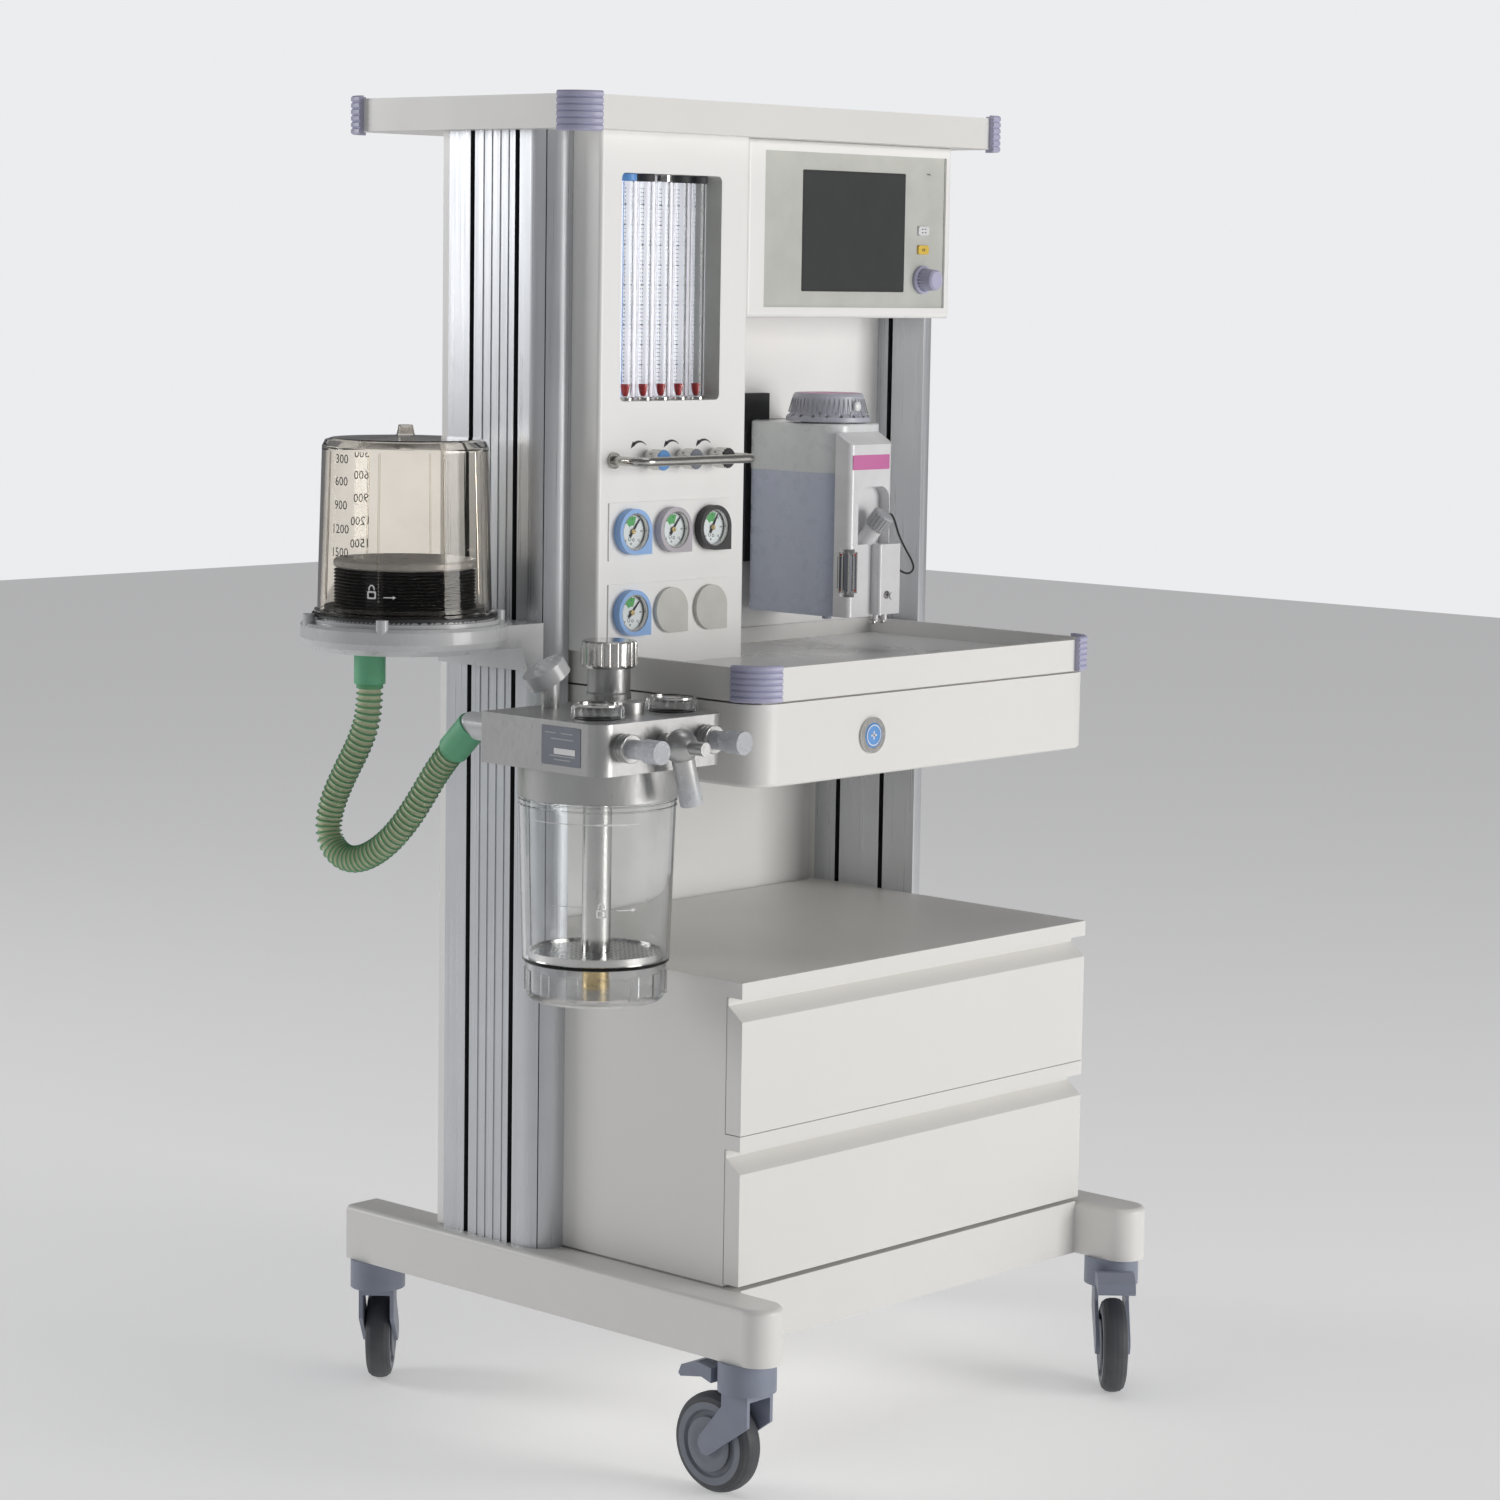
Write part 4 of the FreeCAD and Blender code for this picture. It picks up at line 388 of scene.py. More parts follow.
def hoop(profile, at, axis=UP, steps=48):
    """A closed profile carried round an axis, so its last ring of points joins its first."""
    points, faces = turned(profile, at, axis, steps)
    j, last = np.arange(steps), (len(profile) - 1) * steps
    closing = np.stack([last + j, last + (j + 1) % steps, (j + 1) % steps, j], -1)
    return points, np.concatenate([faces, closing])


def rounded_outline(wide, high, corner, steps=6):
    """A rectangle whose corners are quarter circles, as (across, up) pairs in mm."""
    angle = np.linspace(0, TURN / 4, steps)
    quarter = np.stack([np.cos(angle), np.sin(angle)], -1) * corner
    turns = [(1, 1, 0), (-1, 1, 1), (-1, -1, 2), (1, -1, 3)]
    corners = []
    for side, top, quarter_turns in turns:
        c, s = round(math.cos(quarter_turns * TURN / 4)), round(math.sin(quarter_turns * TURN / 4))
        arc = quarter @ np.array([[c, s], [-s, c]])
        corners.append(arc + [side * (wide / 2 - corner), top * (high / 2 - corner)])
    return np.concatenate(corners)


def slab(outline, at, right, up, thick, bevel=0.25, hole=None):
    """An outline raised off a surface through rings of (share of the outline, height), closed in the middle.
    With a hole, an outline of as many points, the rings end in the hole's edge and go back down."""
    right, up = np.array(right, float), np.array(up, float)
    normal = np.cross(right, up)
    outline = np.array(outline, float)
    reach = np.linalg.norm(outline, axis=1).mean()
    inner = outline * (1 - bevel / reach)
    if hole is None:
        rings = [(outline * 0, 0), (outline, 0), (outline, thick - bevel),
                 (inner, thick), (outline * 0, thick)]
    else:
        hole = np.array(hole, float)
        rings = [(hole, 0), (outline, 0), (outline, thick - bevel), (inner, thick), (hole, thick), (hole, 0)]
    points = np.stack([ring[:, :1] * right + ring[:, 1:] * up + height * normal for ring, height in rings])
    return grid(at + points / 1000, wrap_columns=True)


def blocks(centre, *halves):
    """Small boxes: each has a centre and three half edges, all arrays of one row per box, in mm."""
    centre = np.atleast_2d(np.array(centre, float))
    signs = np.array([[a, b, c] for a in (-1, 1) for b in (-1, 1) for c in (-1, 1)])
    edges = np.stack([np.broadcast_to(half, centre.shape) for half in halves], 1)
    corners = centre[:, None, :] + np.einsum("ks,nsd->nkd", signs, edges)
    quads = np.array([[0, 1, 3, 2], [4, 6, 7, 5], [0, 4, 5, 1], [2, 3, 7, 6], [0, 2, 6, 4], [1, 5, 7, 3]])
    faces = (np.arange(len(centre))[:, None, None] * 8 + quads).reshape(-1, 4)
    return (corners.reshape(-1, 3) + ORIGIN) / 1000, faces


def plus_sign(centres, arm, wide, depth=0.1):
    """Two thin bars across each other at each centre, facing the front or the back."""
    return [blocks(centres, arm * RIGHT, depth * BACK, wide * UP),
            blocks(centres, wide * RIGHT, depth * BACK, arm * UP)]


def ribbon(line, half_widths, normal, thick):
    """A flat band along a line of points in mm, as wide at each as half_widths says, with square edges."""
    line, normal = np.array(line, float), np.array(normal, float)
    ahead = np.gradient(line, axis=0)
    ahead /= np.linalg.norm(ahead, axis=1)[:, None]
    side = np.cross(ahead, normal) * np.array(half_widths, float)[:, None]
    ring = np.stack([line - side, line + side, line + side + normal * thick, line - side + normal * thick], 1)
    points, faces = grid((ring + ORIGIN) / 1000, wrap_columns=True)
    last = len(points) - 4
    return points, np.concatenate([faces, [[0, 1, 2, 3], [last + 3, last + 2, last + 1, last]]])


def lettering(text, height, at, right, up, bend=None):
    """Printed figures, centred at a point; bend is the radius in mm of the upright wall they lie on."""
    curve = bpy.data.curves.new("figures", "FONT")
    curve.body, curve.size, curve.align_x, curve.align_y = text, height, "CENTER", "CENTER"
    curve.extrude, curve.resolution_u = 0.06, 2
    helper = bpy.data.objects.new("figures", curve)
    mesh = bpy.data.meshes.new_from_object(helper)
    bpy.data.objects.remove(helper)
    flat = np.array([vertex.co for vertex in mesh.vertices], float)
    faces = [list(face.vertices) for face in mesh.polygons]
    bpy.data.meshes.remove(mesh)
    right, up = np.array(right, float), np.array(up, float)
    normal = np.cross(right, up)
    if bend:
        angle = flat[:, :1] / bend
        flat_across = np.sin(angle) * (bend + flat[:, 2:])
        flat_out = np.cos(angle) * (bend + flat[:, 2:]) - bend
    else:
        flat_across, flat_out = flat[:, :1], flat[:, 2:]
    return at + (flat_across * right + flat[:, 1:2] * up + flat_out * normal) / 1000, faces


def joined(shapes):
    """Several shapes as one list of points and one list of faces."""
    points, faces, start = [], [], 0
    for shape_points, shape_faces in shapes:
        points.append(shape_points)
        faces += [[int(index) + start for index in face] for face in shape_faces]
        start += len(shape_points)
    return np.concatenate(points), faces


def piece(name, shapes, finish, body, crease=32):
    """Makes one object of several shapes, closes its poles, turns its faces outwards and mounts it."""
    points, faces = joined(shapes)
    mesh = bpy.data.meshes.new(name)
    mesh.from_pydata(points.tolist(), [], faces)
    shell = bmesh.new()
    shell.from_mesh(mesh)
    bmesh.ops.remove_doubles(shell, verts=shell.verts, dist=2e-6)
    bmesh.ops.recalc_face_normals(shell, faces=shell.faces)
    shell.to_mesh(mesh)
    shell.free()
    mesh.shade_smooth()
    mesh.set_sharp_from_angle(angle=math.radians(crease))
    mesh.materials.append(finish.material)
    item = bpy.data.objects.new(name, mesh)
    bpy.context.scene.collection.objects.link(item)
    if body:
        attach(item, body)
    return item


def dress(node, base, *patches):
    """Gives a CAD node its base finish, and another to the faces each patch's test accepts.
    A test takes the x, y and z of the faces' middles in trolley mm and their normals."""
    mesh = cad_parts[node].data
    mesh.materials.clear()
    mesh.materials.append(base.material)
    if not patches:
        return
    middle, normal = np.zeros(len(mesh.polygons) * 3), np.zeros(len(mesh.polygons) * 3)
    mesh.polygons.foreach_get("center", middle)
    mesh.polygons.foreach_get("normal", normal)
    x, y, z = (middle.reshape(-1, 3) * 1000 - ORIGIN).T
    index = np.zeros(len(mesh.polygons), np.int32)
    for number, (finish, test) in enumerate(patches, start=1):
        mesh.materials.append(finish.material)
        index[test(x, y, z, normal.reshape(-1, 3))] = number
    mesh.polygons.foreach_set("material_index", index)
    mesh.update()


# ------------------------------------------------------------------ cords

HOSE_POINTS = [
    (-444.0, 24.748, 724.038), (-444.0, 43.004, 706.958), (-447.5, 62.0, 678.0), (-451.0, 83.0, 648.5),
    (-455.0, 108.0, 623.0), (-457.0, 137.0, 606.0), (-458.0, 164.0, 601.5), (-458.5, 186.0, 613.0),
    (-458.0, 192.5, 635.0), (-457.0, 184.0, 662.0), (-455.5, 168.0, 690.0), (-453.5, 149.0, 720.0),
    (-452.0, 137.0, 750.0), (-452.0, 137.0, 779.5),
]
LANYARD_POINTS = [
    (95.5, -58.0, 935.5), (102.0, -56.5, 937.5), (109.0, -54.5, 935.0), (116.0, -52.5, 927.0),
    (124.0, -50.5, 914.0), (135.5, -50.0, 899.0), (148.0, -49.5, 885.5), (153.0, -48.5, 876.5),
    (147.0, -47.0, 871.0), (136.0, -45.5, 873.5), (124.0, -44.5, 882.0), (113.8, -44.0, 890.0),
]


def smooth_line(points, per_span):
    """The quadratic spline that starts and ends on its outer points and touches each inner run's middle."""
    control = np.array([spot(*point) for point in points])
    joints = np.concatenate([control[:1], (control[1:-2] + control[2:-1]) / 2, control[-1:]])
    t = np.linspace(0, 1, per_span, endpoint=False)[:, None]
    spans = [start * (1 - t) ** 2 + 2 * corner * t * (1 - t) + end * t ** 2
             for start, corner, end in zip(joints, control[1:-1], joints[1:])]
    return np.concatenate(spans + [control[-1:]])


def evenly(line, step):
    """The same line with its points a fixed distance apart."""
    run = np.concatenate([[0], np.cumsum(np.linalg.norm(np.diff(line, axis=0), axis=1))])
    wanted = np.linspace(0, run[-1], max(2, round(run[-1] / step) + 1))
    return np.stack([np.interp(wanted, run, line[:, axis]) for axis in range(3)], -1), wanted


def carried_frames(line):
    """A side and a top direction at each point, carried along the line without twisting."""
    ahead = np.gradient(line, axis=0)
    ahead /= np.linalg.norm(ahead, axis=1)[:, None]
    side = np.cross(ahead[0], UP if abs(ahead[0][2]) < 0.9 else RIGHT)
    sides = []
    for direction in ahead:
        side = side - direction * side.dot(direction)
        side /= np.linalg.norm(side)
        sides.append(side)
    sides = np.array(sides)
    return sides, np.cross(ahead, sides)


def breathing_hose():
    """A round tube whose radius rises to a crest once every pitch: valley + rise * hump(distance),
    where hump is a narrow raised cosine power, so the crests are thin and the valleys wide."""
    line, distance = evenly(smooth_line(HOSE_POINTS, 24), 0.00052)
    pitch, valley, crest = 6.2, 0.0109, 0.0136
    hump = (0.5 + 0.5 * np.cos(distance * 1000 / pitch * TURN)) ** 2.2
    ends = np.minimum(distance, distance[-1] - distance) < 0.004
    hump[ends] = 0.9
    radius = valley + (crest - valley) * hump
    sides, tops = carried_frames(line)
    angle = np.linspace(0, TURN, 28, endpoint=False)
    ring = np.cos(angle)[None, :, None] * sides[:, None] + np.sin(angle)[None, :, None] * tops[:, None]
    outer = line[:, None] + radius[:, None, None] * ring
    inner = line[:, None] + (radius[:, None, None] - 0.0012) * ring
    points = np.concatenate([outer, inner[::-1]])
    hose = piece("ribbed_hose", [grid(points, wrap_rows=True, wrap_columns=True)], hose_skin(), "frame",
                 60)
    spread = hose.data.attributes.new("crest", "FLOAT", "POINT")
    spread.data.foreach_set("value", np.repeat(np.concatenate([hump, hump[::-1]]), 28).astype(np.float32))
    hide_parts("breathing_hose")


def lanyard():
    """A thin round cord from the filler cap down to the drain block."""
    curve = bpy.data.curves.new("lanyard_cord", "CURVE")
    curve.dimensions, curve.bevel_depth, curve.bevel_resolution = "3D", 0.0011, 3
    curve.use_fill_caps = True
    spline = curve.splines.new("NURBS")
    spline.points.add(len(LANYARD_POINTS) - 1)
    for point, place in zip(spline.points, LANYARD_POINTS):
        point.co = (*spot(*place), 1)
    spline.order_u, spline.use_endpoint_u, spline.resolution_u = 3, True, 10
    cord = bpy.data.objects.new("lanyard_cord", curve)
    bpy.context.scene.collection.objects.link(cord)
    curve.materials.append(lanyard_black.material)
    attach(cord, "vaporizer")
    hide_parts("vaporizer_lanyard")


camera()
breathing_hose()
lanyard()
studio()


# ------------------------------------------------------------------ finishes on the CAD nodes

CASTERS = {"front_left": (-289.6, -232.4, 90.0), "front_right": (289.6, -232.4, 222.6),
           "back_left": (-289.6, 303.4, 42.6), "back_right": (289.6, 303.4, 137.4)}
GAUGES = [(-225.5, 927.8, pale_blue, "oxygen_pipeline"), (-167.5, 927.8, bezel_grey, "nitrous_pipeline"),
          (-109.5, 927.8, black, "air_pipeline"), (-225.5, 846.6, pale_blue, "oxygen_cylinder")]
BLANKS = [(-167.5, 846.6), (-109.5, 846.6)]
ABSORBER = (-373.0, -102.0)
BELLOWS = (-417.0, 125.0)


def within(a, b, centre, reach):
    """True where the point (a, b) lies within reach of a centre; all in mm."""
    return np.hypot(a - centre[0], b - centre[1]) < reach


def wheel_middle(name):
    """The middle of a caster's wheel, in trolley mm, and the direction of its axle."""
    x, y, heading = CASTERS[name]
    trail = np.array([math.cos(math.radians(heading)), math.sin(math.radians(heading)), 0])
    return np.array([x, y, 50]) + 37.5 * trail, np.array([-trail[1], trail[0], 0])


def dress_trolley():
    """Base, columns, cabinet, drawers, worktop, shelf and casters."""
    for node in ("base_frame", "cabinet_shell", "drawer_upper", "drawer_lower", "top_shelf"):
        dress(node, painted)
    dress("rear_panels", panel)
    for node in ("column_left", "column_right"):
        dress(node, extrusion,
              (slot_black, lambda x, y, z, n: (abs(abs(x) - 285) < 14.9)
               & ((abs(y - 91.5) < 3.4) | (abs(y - 155.9) < 3.4))))
    dress("worktop_housing", painted,
          (steel, lambda x, y, z, n: within(x, z, (-93.5, 732.5), 18.3) & (y < -205.9)))
    # The tray's recessed floor faces get the darker grey, which is painted shade and reflection
    dress("worktop_tray", painted,
          (tray_floor_shade, lambda x, y, z, n: (z < 792.2) & (z > 791) & (n[:, 2] > 0.9)))
    dress("corner_bumpers", lilac)
    dress("flush_button", blue)
    for name in CASTERS:
        middle, axle = wheel_middle(name)

        def reach(x, y, z):
            """Distances from the wheel's axle line."""
            away = np.stack([x, y, z], -1) - middle
            return np.linalg.norm(away - (away @ axle)[:, None] * axle, axis=1)

        dress("caster_fork_" + name, caster_grey)
        dress("caster_wheel_" + name, tyre,
              (hub_grey, lambda x, y, z, n: reach(x, y, z) < 39),
              (caster_grey, lambda x, y, z, n: reach(x, y, z) < 15))
    for name in ("front_left", "front_right"):
        dress("caster_pedal_" + name, caster_grey)


def dress_panels():
    """Flowmeters, gauges, display and vaporizer."""
    def in_window(x, y, z):
        """Whether places are inside the flowmeters' window."""
        return (x > -243) & (x < -95) & (z > 1055) & (z < 1284) & (y > 5.4) & (y < 45.5)

    dress("flow_panel", panel,
          (plate_grey, lambda x, y, z, n: in_window(x, y, z) & (x > -100)),
          (backlight(), lambda x, y, z, n: in_window(x, y, z) & (n[:, 1] < -0.9)))
    dress("flow_tubes", tube_glass)
    for node in ("floats_oxygen", "floats_nitrous", "float_air"):
        dress(node, float_red)
    for gas, end in (("oxygen", blue), ("nitrous", hub_grey), ("air", black)):
        dress("flow_knob_" + gas, steel, (end, lambda x, y, z, n: y < -16.5))
    dress("knob_guard", guard_steel)
    covers = [(gx, gz, bezel) for gx, gz, bezel, _ in GAUGES] + [(*blank, blank_grey) for blank in BLANKS]
    cases = [(finish, lambda x, y, z, n, cx=cx, cz=cz:
              (abs(x - cx) < 23.2) & (abs(z - cz) < 23.2) & (y < 3.3)) for cx, cz, finish in covers]
    cases += [(dial_white, lambda x, y, z, n, gx=gx, gz=gz:
               within(x, z, (gx, gz), 18.4) & (y < 0.6) & (n[:, 1] < -0.9)) for gx, gz, _, _ in GAUGES]
    dress("gauge_panel", panel, *cases)
    for gx, gz, _, gas in GAUGES:
        dress("gauge_needle_" + gas, print_dark,
              (brass, lambda x, y, z, n, gx=gx, gz=gz: within(x, z, (gx, gz), 2.7) & (y < -1.1)))
    dress("display_housing", panel,
          (plate_grey, lambda x, y, z, n: (x > -29) & (x < 260) & (z > 1151) & (z < 1311) & (y > 8.2)
           & (y < 10.7) & (n[:, 1] < -0.9)))
    for node, finish in (("display_screen", screen_glass), ("display_knob", lilac),
                         ("display_mute_button", white_gloss), ("display_standby_button", button_yellow),
                         ("vaporizer_mount", black), ("vaporizer_body", two_tone()),
                         ("vaporizer_front", white_gloss)):
        dress(node, finish)
    dress("vaporizer_dial", dial_lilac,
          (magenta, lambda x, y, z, n: (n[:, 2] > 0.9) & within(x, y, (84, 16.5), 33)))
    tilt, lean = math.radians(38), math.radians(18)
    axis = np.array([math.sin(tilt) * math.sin(lean), -math.sin(tilt) * math.cos(lean), math.cos(tilt)])
    dress("vaporizer_filler_cap", cap_grey,
          (steel, lambda x, y, z, n: (np.stack([x - 75.6, y + 40.5, z - 904.3], -1) @ axis) < 27.5))


def dress_breathing_side():
    """Bellows, breathing block, absorber and the rear inlets."""
    dress("bellows_base", cast_grey,
          (black, lambda x, y, z, n: within(x, y, BELLOWS, 91.5) & (z > 845)),
          (cuff_green, lambda x, y, z, n: within(x, y, (-452, 137), 16) & (z < 813)))
    dress("bellows_dome", smoky)
    dress("bellows_disc", cast_grey)
    dress("breathing_block", satin)
    dress("block_fittings", satin,
          (ribbed_clear, lambda x, y, z, n: (within(x, y, (-420, -148), 26) | within(x, y, (-320, -148), 26))
           & (z > 768) & (y > -190)),
          (frosted, lambda x, y, z, n: y < -206.3),
          (cast_grey, lambda x, y, z, n: (y > -33) & (x < -420)),
          (cuff_green, lambda x, y, z, n: (y > -14) & (x < -420)
           & ((y + 3) * 0.73 - (z - 750) * 0.683 > -0.1)),
          (cast_grey, lambda x, y, z, n: within(x, y, (-388, -45), 34) & (z > 783)))
    dress("relief_knob", steel)
    lean = math.radians(16)
    dress("bag_elbow", satin,
          (frosted, lambda x, y, z, n: (x + 376) * math.sin(lean) - (z - 744.5) * math.cos(lean) > 37))
    dress("canister", clear)
    dress("canister_pipe", steel,
          (sieve_steel(), lambda x, y, z, n: ~within(x, y, ABSORBER, 16) & (abs(n[:, 2]) > 0.9)))
    dress("canister_handwheel", ribbed_clear, (brass, lambda x, y, z, n: within(x, y, ABSORBER, 13.4)))
    dress("rear_inlets", cast_grey,
          (steel, lambda x, y, z, n: (x < 40) & (y > 205.2)),
          (black, lambda x, y, z, n: (x > 70) & (y > 205.2)))


# ------------------------------------------------------------------ flowmeters and gauges

FRONT = (RIGHT, UP)


def flow_scales():
    """Paired tick scales and figures behind each tube, coloured stoppers, and one blue stripe."""
    height = np.arange(1072, 1270, 4.0)
    long_one = (np.arange(len(height)) % 5 == 0)
    centres, halves, figures = [], [], []
    for number in range(5):
        middle = -212 + 25.6 * number
        for side in (-10.6, 10.2):
            half = np.where(long_one, 2.2, 1.4)
            centres.append(np.stack([middle + side + (half - 1.9), np.full_like(height, 44.8), height], -1))
            halves.append(half)
        figures += [lettering(str(1 + step), 6.0, spot(middle + 13.6, 44.9, level), *FRONT)
                    for step, level in enumerate(height[long_one])]
    centres, halves = np.concatenate(centres), np.concatenate(halves)
    ticks = blocks(centres, halves[:, None] * RIGHT, 0.15 * BACK, 0.5 * UP)
    piece("flow_scale_ticks", [ticks], print_dark, "frame")
    piece("flow_scale_figures", figures, print_dark, "frame")
    stripe = blocks([(-203.0, 43.5, 1168)], 1.4 * RIGHT, 0.6 * BACK, 107 * UP)
    collar = [(0, 0), (8.7, 0), (9.4, 0.7), (9.4, 6.6), (8.7, 7.2), (0, 7.2)]
    tops = [turned(collar, spot(-212 + 25.6 * number, 26, 1274.6), steps=32) for number in range(5)]
    piece("flow_stoppers_blue", [tops[0], stripe], blue, "frame")
    piece("flow_stoppers_black", [tops[1], tops[3], tops[4]], print_dark, "frame")
    piece("flow_stopper_steel", [tops[2]], steel, "frame")
    seat = [(0, 0), (9.2, 0), (9.2, 2.6), (8.6, 3.4), (0, 3.4)]
    piece("flow_seats", [turned(seat, spot(-212 + 25.6 * number, 26, 1057.2), steps=32)
                         for number in range(5)], steel, "frame")


def turn_arrows():
    """Over each knob, an arc that swells towards its head, carried as a ribbon along a circle."""
    arrows = []
    angle = np.radians(np.linspace(48, 128, 24))
    for number in range(3):
        middle = -212 + 47 * number
        line = np.stack([middle + 14 * np.cos(angle), np.full_like(angle, 5.0),
                         1003 + 14 * np.sin(angle)], -1)
        arrows.append(ribbon(line, np.linspace(0.25, 1.7, 24), -BACK, 0.15))
        head = line[-1]
        tip = np.stack([head + [1.0, 0, 1.6], head + [-1.7, 0, -1.4], head + [-3.4, 0, -3.6]])
        arrows.append(ribbon(tip, [2.6, 1.4, 0.1], -BACK, 0.15))
    piece("knob_arrows", arrows, print_dark, "frame")


def arc(middle, radius, start, end, depth, steps=24):
    """Points on an upright circle that faces the front, in trolley mm."""
    angle = np.radians(np.linspace(start, end, steps))
    return np.stack([middle[0] + radius * np.cos(angle), np.full_like(angle, depth),
                     middle[1] + radius * np.sin(angle)], -1)


def gauge_cards():
    """Ticks, figures, a green sector and a cylinder sign on each dial, and a steel rim round it."""
    ticks, figures, sectors, signs, rims = [], [], [], [], []
    angle = np.radians(np.linspace(225, -45, 31))
    long_one = np.arange(31) % 5 == 0
    for gx, gz, _, _ in GAUGES:
        outward = np.stack([np.cos(angle), np.zeros(31), np.sin(angle)], -1)
        sideways = np.stack([-np.sin(angle), np.zeros(31), np.cos(angle)], -1)
        half = np.where(long_one, 1.3, 0.7)[:, None]
        centre = np.array([gx, 0.3, gz]) + outward * (16.8 - half)
        ticks.append(blocks(centre, outward * half, sideways * 0.17, BACK * 0.08))
        ticks.append(ribbon(arc((gx, gz), 17.0, 225, -45, 0.35, 48), np.full(48, 0.12), -BACK, 0.1))
        for number, where in enumerate(angle[long_one]):
            at = spot(gx + 12.6 * math.cos(where), 0.32, gz + 12.6 * math.sin(where))
            figures.append(lettering(str(2 * number), 3.3, at, *FRONT))
        sectors.append(ribbon(arc((gx, gz), 10.6, 68, 132, 0.38), np.full(24, 4.6), -BACK, 0.05))
        round_way = np.linspace(0, TURN, 20, False)
        circle = np.stack([np.cos(round_way), np.sin(round_way)], -1)
        for shift, drop, radius in ((-3.4, -7.4, 2.0), (1.8, -8.4, 1.6), (-1.6, -12.2, 1.1)):
            signs.append(slab(circle * radius, spot(gx + shift, 0.4, gz + drop), *FRONT, 0.12, 0.02,
                              circle * (radius - 0.5)))
        rims.append(hoop([(18.5, 0), (18.5, -5.4), (17.4, -5.4), (17.2, -4.8), (17.2, 0)],
                         spot(gx, 0.4, gz), BACK, 56))
    piece("gauge_ticks", ticks, print_dark, "frame")
    piece("gauge_figures", figures, print_dark, "frame")
    piece("gauge_green_sectors", sectors, dial_green, "frame")
    piece("gauge_signs", signs, print_dark, "frame")
    piece("gauge_rims", rims, steel, "frame")


# ------------------------------------------------------------------ display and vaporizer

def display_marks():
    """A thin dark gasket round the screen, and plain signs on the two buttons and over them."""
    outer, inner = rounded_outline(163.6, 125.5, 1.6), rounded_outline(161.0, 122.9, 0.6)
    gasket = slab(outer, spot(113.25, 10.5, 1230.3), *FRONT, 0.5, 0.15, inner)
    piece("screen_gasket", [gasket], print_dark, "frame")
    dots = [(225 + dx, 8.25, 1233.2 + dz) for dx in (-2.4, 2.4) for dz in (-1.8, 1.8)]
    piece("mute_signs", [blocks(dots, 1.1 * RIGHT, 0.12 * BACK, 0.55 * UP)], print_dark, "mute_button")
    pair = [(223.6, 8.25, 1213.0), (226.4, 8.25, 1213.0)]
    piece("standby_signs", [blocks(pair, 0.7 * RIGHT, 0.12 * BACK, 1.3 * UP)], print_dark, "standby_button")
    lamp_sign = ribbon(np.array([(229.6, 10.5, 1294.5), (232.2, 10.5, 1293.0), (234.2, 10.5, 1294.0),
                                 (236.6, 10.5, 1292.2)]), [0.2, 0.6, 0.6, 0.2], -BACK, 0.12)
    piece("power_sign", [lamp_sign], print_dark, "frame")


